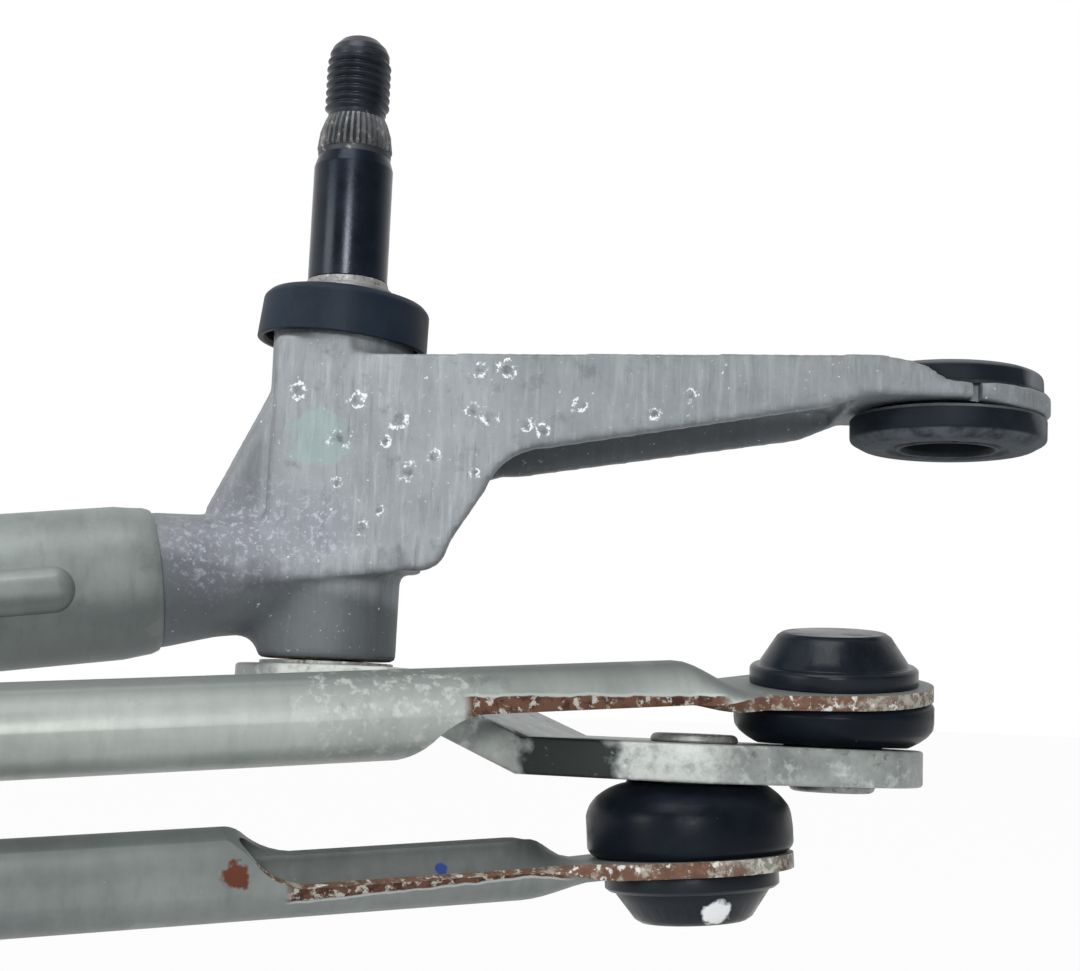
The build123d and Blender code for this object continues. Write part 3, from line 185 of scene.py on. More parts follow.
def new_material(name):
    """Material with an empty node tree, its shader and its output."""
    material = bpy.data.materials.new(name)
    material.use_nodes = True
    tree = material.node_tree
    tree.nodes.clear()
    shader = add(tree, "ShaderNodeBsdfPrincipled")
    output = add(tree, "ShaderNodeOutputMaterial")
    tree.links.new(shader.outputs["BSDF"], output.inputs["Surface"])
    return material, tree, shader


# %% [markdown]
# ## Light and floor
# The object was photographed on white paper under soft daylight. A pale world lights it from
# all sides, a large lamp overhead gives it form, and a window on the left and a small lamp in
# front leave two upright reflections on the spindle. The levels are plain: a colour renders
# about as it is written. The floor looks white to the camera, and still takes the shadow of
# the object.

# %% Floor, world and lamps
bpy.context.scene.view_settings.view_transform = "Standard"
WORLD_LOW = 0.34
WORLD_HIGH = 0.55
ROOM_LEVEL = 0.22
PAPER_GLOW = 0.96
FLOOR_SIZE = 30.0
FLOOR_DROP = 0.03
AIM = Vector((0.0, 0.0, 0.03))
LAMPS = (
    ("overhead", (-0.25, -0.30, 0.75), 0.5, 3.4),
    ("window", (-0.85, -0.22, 0.12), 0.36, 2.2),
    ("front_fill", (-0.33, -0.85, 0.16), 0.16, 3.4),
)


def seen_directly(tree):
    """1 for rays from the camera, a mirror or a clear part, and 0 for rays that carry light."""
    ray = add(tree, "ShaderNodeLightPath").outputs
    direct = maths(tree, "MAXIMUM", ray["Is Camera Ray"], ray["Is Transmission Ray"])
    return maths(tree, "MAXIMUM", direct, ray["Is Glossy Ray"])


def stage_world():
    """Pale world, brighter on the left, white behind the object and a dim room in front."""
    world = bpy.data.worlds.new("studio")
    bpy.context.scene.world = world
    world.use_nodes = True
    tree = world.node_tree
    tree.nodes.clear()
    direction = add(tree, "ShaderNodeSeparateXYZ", {
        0: add(tree, "ShaderNodeTexCoord").outputs["Generated"],
    }).outputs
    lit = add(tree, "ShaderNodeBackground", {
        "Color": colour("EDF0F4"),
        "Strength": ramp(tree, direction["X"], -0.8, 0.8, WORLD_HIGH, WORLD_LOW),
    })
    ahead = ramp(tree, direction["Y"], -0.4, 0.3, ROOM_LEVEL, 1.0)
    camera_ray = add(tree, "ShaderNodeLightPath").outputs["Is Camera Ray"]
    white = add(tree, "ShaderNodeBackground", {
        "Color": colour("FFFFFF"), "Strength": maths(tree, "MAXIMUM", ahead, camera_ray),
    })
    mix = add(tree, "ShaderNodeMixShader", {
        0: seen_directly(tree), 1: lit.outputs[0], 2: white.outputs[0],
    })
    add(tree, "ShaderNodeOutputWorld", {"Surface": mix.outputs[0]})


def stage_floor(height):
    """Large white floor that keeps the shadow of the object."""
    bpy.ops.mesh.primitive_plane_add(size=FLOOR_SIZE, location=(0.0, 0.0, height))
    floor = bpy.context.object
    floor.name = "floor"
    material, tree, shader = new_material("white_paper")
    shader.inputs["Base Color"].default_value = colour("D8DADC")
    shader.inputs["Roughness"].default_value = 0.9
    glow = add(tree, "ShaderNodeEmission", {"Color": colour("FFFFFF"), "Strength": 1.0})
    mix = add(tree, "ShaderNodeMixShader", {
        0: maths(tree, "MULTIPLY", seen_directly(tree), PAPER_GLOW),
        1: shader.outputs[0], 2: glow.outputs[0],
    })
    output = next(node for node in tree.nodes if node.type == "OUTPUT_MATERIAL")
    tree.links.new(mix.outputs[0], output.inputs["Surface"])
    floor.data.materials.append(material)
    floor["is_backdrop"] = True


def area_light(name, place, target, size, power):
    """Soft square lamp that looks at a point."""
    data = bpy.data.lights.new(name, "AREA")
    data.size = size
    data.energy = power
    lamp = new_object(name, data)
    lamp.location = place
    lamp.rotation_euler = (target - place).to_track_quat("-Z", "Y").to_euler()


stage_world()
stage_floor(cad_box[0][2] - FLOOR_DROP)
target = RIGHT_AXIS + AIM
for name, place, size, power in LAMPS:
    area_light(name, target + Vector(place), target, size, power)
print("floor at", round(cad_box[0][2] - FLOOR_DROP, 3), "m")

# %% [markdown]
# ## Finishes
# Every finish starts as a mottled skin: a tone that drifts over patches of a known size, a
# roughness that drifts with it, and a fine grain that stands a few hundredths of a millimetre
# high. Stains are laid over it with masks: rust, white corrosion, dust and worn spots.

# %% Mottled coats
GLOSS_DRIFT = 0.06


def per_mm(size):
    """Texture scale that makes features of a size in millimetres."""
    return 1.0 / (size * MM)


def noise(tree, place, size, detail, rough=0.5):
    """Noise with features of a size in millimetres."""
    return add(tree, "ShaderNodeTexNoise", {
        "Vector": place, "Scale": per_mm(size), "Detail": detail, "Roughness": rough,
    }).outputs["Fac"]


class Coat:
    """Finish in the making: a tone and a gloss that drift over patches, and a fine grain."""

    def __init__(self, name, dark, pale, patch, grain, depth, metallic, rough):
        """Patch, grain and the depth of the grain are in millimetres."""
        self.material, self.tree, self.shader = new_material(name)
        tree, inputs = self.tree, self.shader.inputs
        self.place = add(tree, "ShaderNodeTexCoord").outputs["Object"]
        drift = noise(tree, self.place, patch, 6.0, 0.62)
        tint = add(tree, "ShaderNodeMix", {
            0: ramp(tree, drift, 0.3, 0.7), 6: colour(dark), 7: colour(pale),
        }, data_type="RGBA")
        gloss = ramp(tree, drift, 0.3, 0.7, rough - GLOSS_DRIFT, rough + GLOSS_DRIFT)
        bump = add(tree, "ShaderNodeBump", {
            "Height": noise(tree, self.place, grain, 3.0), "Distance": depth * MM,
            "Strength": 1.0,
        })
        tree.links.new(tint.outputs[2], inputs["Base Color"])
        tree.links.new(gloss, inputs["Roughness"])
        tree.links.new(bump.outputs[0], inputs["Normal"])
        inputs["Metallic"].default_value = metallic


print("a patch of 8 mm needs a scale of", round(per_mm(8.0)))

# %% Masks


def patches(coat, size, low, high, seed, place=None):
    """Mask of ragged patches: 0 under one level of a noise and 1 over another."""
    ragged = add(coat.tree, "ShaderNodeTexNoise", {
        "Vector": coat.place if place is None else place, "Scale": per_mm(size),
        "Detail": 6.0, "Roughness": 0.65, "W": seed,
    }, noise_dimensions="4D")
    return ramp(coat.tree, ragged.outputs["Fac"], low, high)


def both(coat, first, second):
    """Mask that is 1 where both masks are; a number as the second one thins the first."""
    return maths(coat.tree, "MULTIPLY", first, second)


def drawn_out(coat, scale):
    """Place for textures that are stretched along the axes whose scale is under 1."""
    return add(coat.tree, "ShaderNodeMapping", {"Vector": coat.place, "Scale": scale}).outputs[0]


def painted(coat, name):
    """Value that is painted on the mesh under a name."""
    return add(coat.tree, "ShaderNodeAttribute", attribute_name=name).outputs["Fac"]


def around(coat, centre, radius, ragged):
    """Mask of one ragged spot round a point; radius in millimetres."""
    reach = radius * MM
    away = measure(coat.tree, "DISTANCE", coat.place, centre)
    uneven = noise(coat.tree, coat.place, radius * 0.6, 4.0)
    edge = maths(coat.tree, "MULTIPLY_ADD", uneven, reach * ragged * 2.0, away)
    return ramp(coat.tree, edge, reach * (1.0 + ragged), reach * (0.75 + ragged))


def facing(coat, direction, low, high):
    """Mask of the surfaces that face a direction of the object."""
    normal = add(coat.tree, "ShaderNodeTexCoord").outputs["Normal"]
    return ramp(coat.tree, measure(coat.tree, "DOT_PRODUCT", normal, direction), low, high)


print("masks ready")

# %% Stains


def stain(coat, mask, code, rough, share=1.0):
    """Lay another substance over a coat where a mask is 1; the share is how much it hides."""
    if share < 1.0:
        mask = both(coat, mask, share)
    tone, gloss = coat.shader.inputs["Base Color"], coat.shader.inputs["Roughness"]
    over = add(coat.tree, "ShaderNodeMix", {
        0: mask, 6: tone.links[0].from_socket, 7: colour(code),
    }, data_type="RGBA")
    coat.tree.links.new(over.outputs[2], tone)
    over = add(coat.tree, "ShaderNodeMix", {0: mask, 2: gloss.links[0].from_socket, 3: rough})
    coat.tree.links.new(over.outputs[0], gloss)


def spots(coat, size, low, high, seed, code, rough, share=1.0, place=None, inside=None):
    """Stain in ragged patches of a size, all over the coat or inside a mask."""
    mask = patches(coat, size, low, high, seed, place)
    if inside is not None:
        mask = both(coat, inside, mask)
    stain(coat, mask, code, rough, share)


def plain_finish(skin, *marks):
    """Material of a coat with rows of spots."""
    coat = Coat(*skin)
    for mark in marks:
        spots(coat, *mark)
    return coat.material


finishes = {}
print("stains ready")

# %% [markdown]
# ## Die-cast alloy
# The pivot housings and the gear housing are cast in an aluminium and zinc alloy. The skin is
# matte and grey, drawn with fine upright marks, and years of road salt have left white rings
# of oxide where drops have dried. The rings are placed where the photograph shows them: their
# distances are painted on the mesh as an attribute, and the shader draws a ragged ring.

# %% Die-cast alloy
GREEN_PLACE = (-5.1, -10.6, 31.1)
RING_WOBBLE = 2.6
RING_MIDDLE = 2.15
RING_EDGES = (0.26, 0.06)


def cast_alloy():
    """Matte grey casting with drag marks, painted shade low down and in hollows, and white oxide rings."""
    coat = Coat("die_cast_alloy", "7B7F82", "979B9E", 7.0, 0.5, 0.05, 0.3, 0.58)
    upright = drawn_out(coat, (1.0, 1.0, 0.10))
    spots(coat, 0.9, 0.50, 0.80, 2.0, "B1B5B8", 0.55, 0.75, upright)
    spots(coat, 1.6, 0.54, 0.80, 22.0, "666B6E", 0.65, 0.9, upright)
    spots(coat, 0.5, 0.58, 0.70, 27.0, "62676A", 0.7, 0.5, upright)
    spots(coat, 3.0, 0.58, 0.80, 5.0, "64696B", 0.7)
    green = around(coat, beside(RIGHT_AXIS, *GREEN_PLACE), 4.5, 0.9)
    stain(coat, green, "8BA6A1", 0.6, 0.4)
    # Painted shade: darker below the ledge, inside the arm, along the arm and on the web.
    stain(coat, painted(coat, "grime"), "5C6163", 0.6)
    frost = painted(coat, "frost")
    stain(coat, frost, "8C8C9C", 0.75, 0.5)
    spots(coat, 0.9, 0.52, 0.62, 9.0, "C3C5D0", 0.85, inside=frost)
    spots(coat, 0.7, 0.64, 0.69, 7.0, "DDE1E3", 0.8)
    distance = painted(coat, "oxide_distance")
    core = ramp(coat.tree, distance, 0.8, 0.2)
    spots(coat, 1.0, 0.4, 0.6, 13.0, "5E6366", 0.7, inside=core)
    wobble = noise(coat.tree, coat.place, 1.1, 6.0, 0.75)
    bent = maths(coat.tree, "MULTIPLY_ADD", wobble, RING_WOBBLE, distance)
    off_ring = maths(coat.tree, "ABSOLUTE", maths(coat.tree, "SUBTRACT", bent, RING_MIDDLE))
    ring = ramp(coat.tree, off_ring, *RING_EDGES)
    spots(coat, 1.3, 0.49, 0.54, 11.0, "ECEFF1", 0.85, inside=ring)
    return coat.material


finishes["die_casting"] = cast_alloy()
print("die-cast alloy ready")

# %% [markdown]
# ## Zinc coated steel
# The frame tube and the link rods are galvanised steel tube: grey with a green tinge, a soft
# sheen, and faint marks across their length. The levers and the bracket are plated plate,
# paler, with chalky white bloom. Where a tube or sheet was cut after coating, the bare steel
# has rusted, with flakes of grey left on it.

# %% Galvanised tube, plated plate and cut edges
# A near-black spot and two pale patches on the right lever.
LEVER_MARKS = (
    ((25.0, -35.5, -12.0), 8.0, "262C2A", 1.0, 0.2),
    ((37.0, -44.5, -11.6), 9.0, "C9CDC9", 0.6, 0.34),
    ((-1.6, -12.2, -1.1), 12.0, "CDD0CB", 0.8, 0.34),
)


def galvanised(name, dark, pale, across, under_shade_share, top_shade_share):
    """Dull zinc coat: spangle, marks across the tube, stains, white specks, and painted shade below and on top."""
    coat = Coat(name, dark, pale, 14.0, 0.8, 0.02, 0.45, 0.46)
    drawn = drawn_out(coat, across)
    spots(coat, 2.6, 0.45, 0.75, 3.0, pale, 0.42, 0.6, drawn)
    spots(coat, 1.5, 0.5, 0.8, 23.0, dark, 0.5, 0.7, drawn)
    # Painted shade on the faces that look down.
    stain(coat, facing(coat, DOWN, 0.1, 0.9), "4F5554", 0.5, under_shade_share)
    # Painted shade on the faces that look up.
    stain(coat, facing(coat, UP, 0.3, 0.9), "6F7572", 0.6, top_shade_share)
    spangle = add(coat.tree, "ShaderNodeTexVoronoi", {
        "Vector": coat.place, "Scale": per_mm(3.5),
    }).outputs["Color"]
    stain(coat, ramp(coat.tree, spangle, 0.75, 1.0, 0.0, 0.35), "8B918E", 0.38)
    spots(coat, 7.0, 0.6, 0.78, 6.0, "6E7370", 0.6)
    spots(coat, 0.8, 0.69, 0.75, 8.0, "DDE0DE", 0.8)
    return coat


def plated_plate():
    """Zinc plated plate with chalky bloom, brown specks, and on the right lever a near-black spot and two pale
    patches.
    """
    coat = Coat("zinc_plated_plate", "7B807D", "A9AEAA", 4.0, 0.6, 0.04, 0.45, 0.48)
    spots(coat, 3.0, 0.54, 0.68, 4.0, "CDD2CF", 0.8)
    spots(coat, 2.2, 0.60, 0.72, 12.0, "4F5350", 0.7)
    spots(coat, 1.5, 0.68, 0.76, 14.0, "7C5A43", 0.85)
    for place, radius, code, share, thin in LEVER_MARKS:
        spot = around(coat, beside(RIGHT_AXIS, *place), radius, 0.8)
        spots(coat, 1.6, thin, thin + 0.2, radius, code, 0.65, share, inside=spot)
    return coat.material


def cut_edge():
    """Sheared steel edge: brown rust with pale flakes of coating."""
    coat = Coat("rusted_cut_edge", "50382B", "7A5A47", 2.0, 0.35, 0.08, 0.1, 0.85)
    spots(coat, 2.0, 0.52, 0.60, 2.0, "9A9488", 0.6)
    for ball in (OUTER_BALL, INNER_BALL):
        kept = around(coat, beside(ball, 4.0, 0.0, 0.0), 15.0, 0.5)
        spots(coat, 2.4, 0.36, 0.52, 6.0, "8F9287", 0.6, inside=kept)
        spots(coat, 1.1, 0.49, 0.55, 8.0, "CBC8BB", 0.8, inside=kept)
    spots(coat, 1.2, 0.56, 0.62, 4.0, "CFCDC6", 0.8)
    return coat.material


# The last two numbers are the shares of painted shade on the faces that look down and up.
finishes["galvanised_tube"] = galvanised(
    "galvanised_steel_tube", "6C7371", "8F9693", (1.0, 0.25, 0.25), 0.8, 0.0
).material
finishes["zinc_plated_steel"] = plated_plate()
finishes["cut_edge"] = cut_edge()
print("zinc coats ready")

# %% [markdown]
# ## Blackened and bright steel
# The wiper spindle has a smooth blue-black conversion coat with an oily gloss. On its thread
# and knurl the coat is worn to dull grey. Rings, studs and the output shaft are bright steel
# that has gone dull.

# %% Steels


def blackened(name, dark, pale, rough, wear):
    """Blue-black coat on steel with worn spots of bare metal."""
    coat = Coat(name, dark, pale, 5.0, 0.5, 0.01, 0.4, rough)
    coat.shader.inputs["Specular IOR Level"].default_value = 0.36
    spots(coat, 1.2, wear, wear + 0.1, 3.0, "8F8C84", 0.5)
    return coat.material


for slot, *skin in (
    ("blackened_steel", "blue_black_steel", "0D131C", "182230", 0.26, 0.72),
    ("worn_thread", "worn_black_thread", "1A1E25", "32373E", 0.34, 0.66),
    ("worn_knurl", "worn_knurl", "3C4043", "6E7070", 0.42, 0.54),
    ("worn_band", "worn_band", "26292C", "45464A", 0.45, 0.6),
):
    finishes[slot] = blackened(*skin)
finishes["bright_steel"] = plain_finish(
    ("dull_bright_steel", "7A7B7A", "A9AAA8", 3.0, 0.4, 0.05, 0.6, 0.5),
    (1.2, 0.54, 0.66, 6.0, "635A55", 0.8), (1.1, 0.60, 0.66, 8.0, "CFCBC6", 0.8),
)
print("steels ready")

# %% [markdown]
# ## Rubber and moulded plastics
# The grommets are carbon-filled rubber, blue-black, dusty on the faces that lie level. The
# boots are a softer, shinier rubber. The ball sockets are moulded in a hard glossy plastic,
# scuffed by handling, and the caps and the gear cover have a fine spark-eroded texture.

# %% Rubbers and plastics


def soft_black(name, dark, pale, rough, grain, depth, dust, sheen=0.2):
    """Black rubber or plastic with a dusty film in places."""
    coat = Coat(name, dark, pale, 10.0, grain, depth, 0.0, rough)
    coat.shader.inputs["IOR"].default_value = 1.52
    coat.shader.inputs["Specular IOR Level"].default_value = sheen
    spots(coat, 6.0, 0.52, 0.78, 4.0, dust, 0.8, 0.7)
    spots(coat, 0.9, 0.70, 0.76, 9.0, "7F8487", 0.9)
    return coat


def grommet_rubber():
    """Grommet rubber: dust lies on its level faces, and painted shade darkens the bore of the right eye."""
    coat = soft_black("grommet_rubber", "0F141A", "1A2129", 0.5, 0.4, 0.02, "262D35", 0.12)
    under = facing(coat, DOWN, 0.35, 0.8)
    spots(coat, 5.0, 0.36, 0.56, 15.0, "5D6266", 0.9, inside=under)
    over = facing(coat, UP, 0.35, 0.8)
    spots(coat, 5.0, 0.3, 0.5, 17.0, "62676A", 0.9, inside=over)
    low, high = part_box("right_eye_grommet")
    eye = (low + high) / 2
    stain(coat, around(coat, beside(eye, 14.0, -7.0, 5.5), 13.0, 0.3), "7A7E80", 0.9)
    # Painted shade inside the bore of the right eye.
    stain(coat, around(coat, eye, 9.4, 0.05), "05070A", 0.9)
    return coat.material


finishes["black_rubber"] = grommet_rubber()
for slot, *skin in (
    ("boot_rubber", "boot_rubber", "090D13", "111720", 0.32, 0.6, 0.012, "171D25", 0.1),
    ("cap_polymer", "eroded_polyamide", "161F2A", "202B38", 0.5, 0.35, 0.03, "2C3642", 0.14),
    ("cover_polymer", "glass_filled_polyamide", "131518", "1E2124", 0.55, 0.5, 0.03, "2B2E31"),
):
    finishes[slot] = soft_black(*skin).material
finishes["wheel_polymer"] = plain_finish(
    ("natural_acetal", "D2CFC4", "E9E7DF", 12.0, 1.2, 0.01, 0.0, 0.35),
    (9.0, 0.55, 0.7, 2.0, "A79D80", 0.2),
)
print("rubbers and plastics ready")

# %% [markdown]
# ## Inner and motor finishes
# Sintered bronze is porous and oily. The plug's pins are brass. The motor can is drawn steel
# under satin black paint with a slight orange peel. Magnets are sintered ferrite, and brushes
# are pressed carbon with copper.

# %% Socket plastic, bronze, brass, paint, ferrite and carbon
CHIP_PLACE = (43.6, -43.3, -31.6)


def socket_plastic():
    """Glossy acetal of the ball sockets, with one chip where the photograph shows white."""
    coat = soft_black("black_acetal", "0D1219", "171E27", 0.3, 0.8, 0.012, "20282F")
    chip = around(coat, beside(RIGHT_AXIS, *CHIP_PLACE), 2.3, 0.5)
    stain(coat, chip, "F2F2F2", 0.8)
    return coat.material


finishes["black_polymer"] = socket_plastic()
for slot, skin, *marks in (
    ("sintered_bronze", ("sintered_bronze", "8A6A3E", "B08D58", 2.0, 0.3, 0.04, 0.75, 0.42),
     (0.5, 0.58, 0.66, 3.0, "4A3A24", 0.7)),
    ("terminal_brass", ("drawn_brass", "B99551", "DDC07E", 3.0, 0.3, 0.005, 0.9, 0.28),
     (2.0, 0.58, 0.7, 3.0, "C9C6BC", 0.3)),
    ("motor_paint", ("satin_black_paint", "141517", "202225", 18.0, 1.6, 0.03, 0.0, 0.32),
     (12.0, 0.55, 0.8, 3.0, "3A3B3C", 0.7), (1.6, 0.73, 0.76, 5.0, "7B7D7E", 0.5)),
    ("ferrite", ("sintered_ferrite", "2A2B2D", "3A3C3E", 3.0, 0.4, 0.03, 0.2, 0.6)),
    ("brush_carbon", ("copper_carbon", "2B2725", "4A3B33", 1.2, 0.3, 0.03, 0.3, 0.55)),
):
    finishes[slot] = plain_finish(skin, *marks)
print(len(finishes), "finishes")

# %% [markdown]
# ## Shape tools
# Most pieces are right in the CAD model except for their edges, which are sharp there and
# rounded on the real ones. A merged copy gets its flat faces back, a bevel on its sharp edges,
# and takes the place of its node. Turned pieces are made from an outline instead, because a
# rounded outline gives cleaner highlights.

# %% Merged copies, bevels and pieces
FLAT_ANGLE = radians(0.3)
SHARP_ANGLE = radians(33)


def joined(node):
    """Merged copy of a CAD node's mesh."""
    shell = bmesh.new()
    shell.from_mesh(frame["nodes"][node].data)
    bmesh.ops.remove_doubles(shell, verts=shell.verts, dist=1e-6)
    return shell


def whole_faces(shell, **limits):
    """Join the triangles of each flat face."""
    bmesh.ops.dissolve_limit(
        shell, angle_limit=FLAT_ANGLE, verts=shell.verts, edges=shell.edges, **limits
    )
    return shell


def add_piece(name, shell, *slots):
    """Object of a bmesh, with its materials in order."""
    mesh = bpy.data.meshes.new(name)
    shell.to_mesh(mesh)
    shell.free()
    for slot in slots:
        mesh.materials.append(finishes[slot])
    return new_object(name, mesh)


def settle(piece, crease=32.0):
    """Turn a piece's modifiers into plain mesh, smooth but for its sharp edges."""
    depsgraph = bpy.context.evaluated_depsgraph_get()
    mesh = bpy.data.meshes.new_from_object(piece.evaluated_get(depsgraph))
    piece.modifiers.clear()
    piece.data = mesh
    mesh.name = piece.name
    mesh.shade_smooth()
    mesh.set_sharp_from_angle(angle=radians(crease))
    return piece


def stand_in(piece, *nodes):
    """A finished piece rides with its CAD nodes' body and is shown in their place."""
    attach(piece, body_of[nodes[0]])
    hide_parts(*nodes)
    return piece


def round_edges(piece, radius, segments=3):
    """Bevel the sharp edges of a piece; radius in millimetres."""
    bevel = piece.modifiers.new("rounded edges", "BEVEL")
    bevel.width = radius * MM
    bevel.segments = segments
    bevel.limit_method = "ANGLE"
    bevel.angle_limit = SHARP_ANGLE
    bevel.use_clamp_overlap = True
    return piece


def present(node, shell, crease=32.0, edge=0.0):
    """Show a new shape, with the node's own finish, in place of a CAD node."""
    piece = add_piece(node + "_finished", shell, slot_of[node])
    if edge:
        round_edges(piece, edge)
    return stand_in(settle(piece, crease), node)


def dress(node, radius):
    """CAD node with rounded edges and its own finish."""
    return present(node, whole_faces(joined(node)), edge=radius)


def merge(pieces):
    """Join pieces to the first of them."""
    with bpy.context.temp_override(active_object=pieces[0], selected_editable_objects=pieces):
        bpy.ops.object.join()
    return pieces[0]


print("shape tools ready")

# %% Turned outlines
CORNER_STEPS = 4
CORNER_SHARE = 0.45
TURN_STEPS = 144


def rounded(outline):
    """Closed outline of (radius, height, corner) rows, each corner rounded, in millimetres."""
    places = []
    for i, (radius, height, corner) in enumerate(outline):
        here = Vector((radius, height))
        before = Vector(outline[i - 1][:2]) - here
        after = Vector(outline[(i + 1) % len(outline)][:2]) - here
        if corner == 0:
            places.append(here)
            continue
        reach = corner / tan(before.angle(after) / 2)
        start = here + before.normalized() * min(reach, before.length * CORNER_SHARE)
        end = here + after.normalized() * min(reach, after.length * CORNER_SHARE)
        for step in range(CORNER_STEPS + 1):
            t = step / CORNER_STEPS
            places.append((1 - t) ** 2 * start + 2 * t * (1 - t) * here + t * t * end)
    return places


def bridge(shell, low, high):
    """Faces between two closed rings of as many vertices each."""
    for corners in zip(low, low[1:] + low[:1], high[1:] + high[:1], high):
        shell.faces.new(corners)


def turned(outline, axis):
    """Mesh turned from an outline about an upright axis."""
    shell = bmesh.new()
    profile = rounded(outline)
    rings = []
    for k in range(TURN_STEPS):
        turn = 2 * pi * k / TURN_STEPS
        rings.append([
            shell.verts.new(beside(axis, p.x * cos(turn), p.x * sin(turn), p.y))
            for p in profile
        ])
    for here, there in zip(rings, rings[1:] + rings[:1]):
        bridge(shell, here, there)
    bmesh.ops.remove_doubles(shell, verts=shell.verts, dist=1e-7)
    bmesh.ops.dissolve_degenerate(shell, edges=shell.edges, dist=1e-7)
    bmesh.ops.recalc_face_normals(shell, faces=shell.faces)
    return shell


print("each outline is turned in", TURN_STEPS, "steps")

# %% [markdown]
# ## Pivot housings
# The right-hand housing fills the middle of the photograph: barrel, web, spigot and the arm
# with its mounting ring, all one casting with soft edges. A voxel remesh of the CAD copy gives
# an even skin, and a little smoothing rounds every edge and corner by about a millimetre, as
# casting and tumbling do. That closes the slot in the ring, so it is cut again. The gear
# housing is cast in the same way.

# %% Castings
CAST_CREASE = 60.0
OXIDE_RINGS = [
    (-4.9, 38.2, 1.3), (3.8, 37.3, 1.3), (1.5, 31.4, 1.6), (8.0, 31.3, 0.9), (9.7, 34.5, 1.5),
    (1.3, 25.0, 0.9), (11.6, 27.0, 1.4), (15.0, 29.4, 1.1), (20.4, 36.2, 1.2), (22.9, 35.4, 1.3),
    (21.1, 42.3, 1.2), (25.0, 42.4, 1.4), (28.0, 34.5, 1.0), (30.6, 33.8, 1.1), (35.8, 37.6, 1.2),
    (21.2, 27.1, 0.8), (5.2, 18.7, 1.1), (7.6, 21.3, 0.8), (46.6, 36.7, 1.0), (51.6, 39.8, 1.0),
]
FROST = [(-13.7, -7.0, 18.0, 10.0), (-5.0, -10.0, 18.5, 7.0), (-20.0, -6.0, 14.0, 8.0)]
SHADE_TOP = 10.5
SHADE_SLOPE = 0.18
RING_ROOM = 4.0
FRONT = -9.0
NOTCH = ((92.2, 93.6), (-13.4, -9.4), (39.0, 45.0))
ARM_ANGLE = radians(-20.0)
CASTINGS = (
    ("right_pivot_housing", 0.68, 3, RIGHT_AXIS, OXIDE_RINGS, FROST),
    ("left_pivot_housing", 0.9, 2, LEFT_AXIS, [], []),
    ("gear_housing", 0.9, 2, beside(CRANK_AXIS, 0.0, 0.0, -60.0), [], []),
)


def cast_skin(node, voxel, relax):
    """Casting with an even skin and soft edges."""
    piece = add_piece(node + "_finished", joined(node), slot_of[node])
    skin = piece.modifiers.new("skin", "REMESH")
    skin.mode = "VOXEL"
    skin.voxel_size = voxel * MM
    soft = piece.modifiers.new("soft edges", "SMOOTH")
    soft.factor = 0.5
    soft.iterations = relax
    return settle(piece, CAST_CREASE)


def cut_notch(piece, axis):
    """Cut the slot in the near side of the mounting ring, which the even skin closes."""
    bpy.ops.mesh.primitive_cube_add(size=1.0)
    tool = bpy.context.object
    middle = [(low + high) / 2 * MM for low, high in NOTCH]
    tool.data.transform(
        Matrix.Translation(axis) @ Matrix.Rotation(ARM_ANGLE, 4, "Z")
        @ Matrix.Translation(middle)
        @ Matrix.Diagonal([(high - low) * MM for low, high in NOTCH] + [1.0])
    )
    cut = piece.modifiers.new("notch", "BOOLEAN")
    cut.object = tool
    cut.operation = "DIFFERENCE"
    settle(piece, CAST_CREASE)
    bpy.data.objects.remove(tool)


def part_of(value, width):
    """Share of a width that a value has covered, from 0 to 1."""
    return min(max(value / width, 0.0), 1.0)


def paint(piece, axis, rings, frosts):
    """Paint a housing: distance to its oxide rings, its frost, and painted shade low on it."""
    mesh = piece.data
    layers = [
        mesh.attributes.new(name, "FLOAT", "POINT").data
        for name in ("oxide_distance", "frost", "grime")
    ]
    for vertex, near, frosted, shaded in zip(mesh.vertices, *layers):
        x, y, z = (vertex.co - axis) / MM
        along = x * cos(ARM_ANGLE) + y * sin(ARM_ANGLE)
        across = -x * sin(ARM_ANGLE) + y * cos(ARM_ANGLE)
        gaps = [sqrt((along - s) ** 2 + (z - h) ** 2) / r for s, h, r in rings]
        near.value = min(gaps + [RING_ROOM]) if across < FRONT else RING_ROOM
        frosted.value = max([0.0] + [
            1.0 - sqrt((x - a) ** 2 + (y - b) ** 2 + (z - c) ** 2) / r for a, b, c, r in frosts
        ])
        # Painted shade: below the ledge, inside the arm, further along the arm and on the web behind the plate.
        low = part_of(SHADE_TOP - z - SHADE_SLOPE * x, 2.0) * 0.85
        inside = 0.6 if across > 3.0 and along > 12.0 and z < 42.0 else 0.0
        arm = part_of(along - 18.0, 12.0) * 0.25
        web = part_of(-x - 11.0, 2.0) * 0.3 if z > 12.0 else 0.0
        shaded.value = max(low, inside, arm, web)


for node, voxel, relax, axis, rings, frosts in CASTINGS:
    casting = cast_skin(node, voxel, relax)
    if node == "right_pivot_housing":
        cut_notch(casting, axis)
    paint(casting, axis, rings, frosts)
    stand_in(casting, node)
    print(node, "has", len(casting.data.polygons), "faces")

# %% [markdown]
# ## Grommets
# Each mounting eye holds a rubber grommet: a thick flange below, a thinner one above, and a
# bore for the sleeve of the screw. It is moulded, so all its edges are rounded. The outline is
# turned about the middle of the eye, whose place and height come from the CAD node's box.

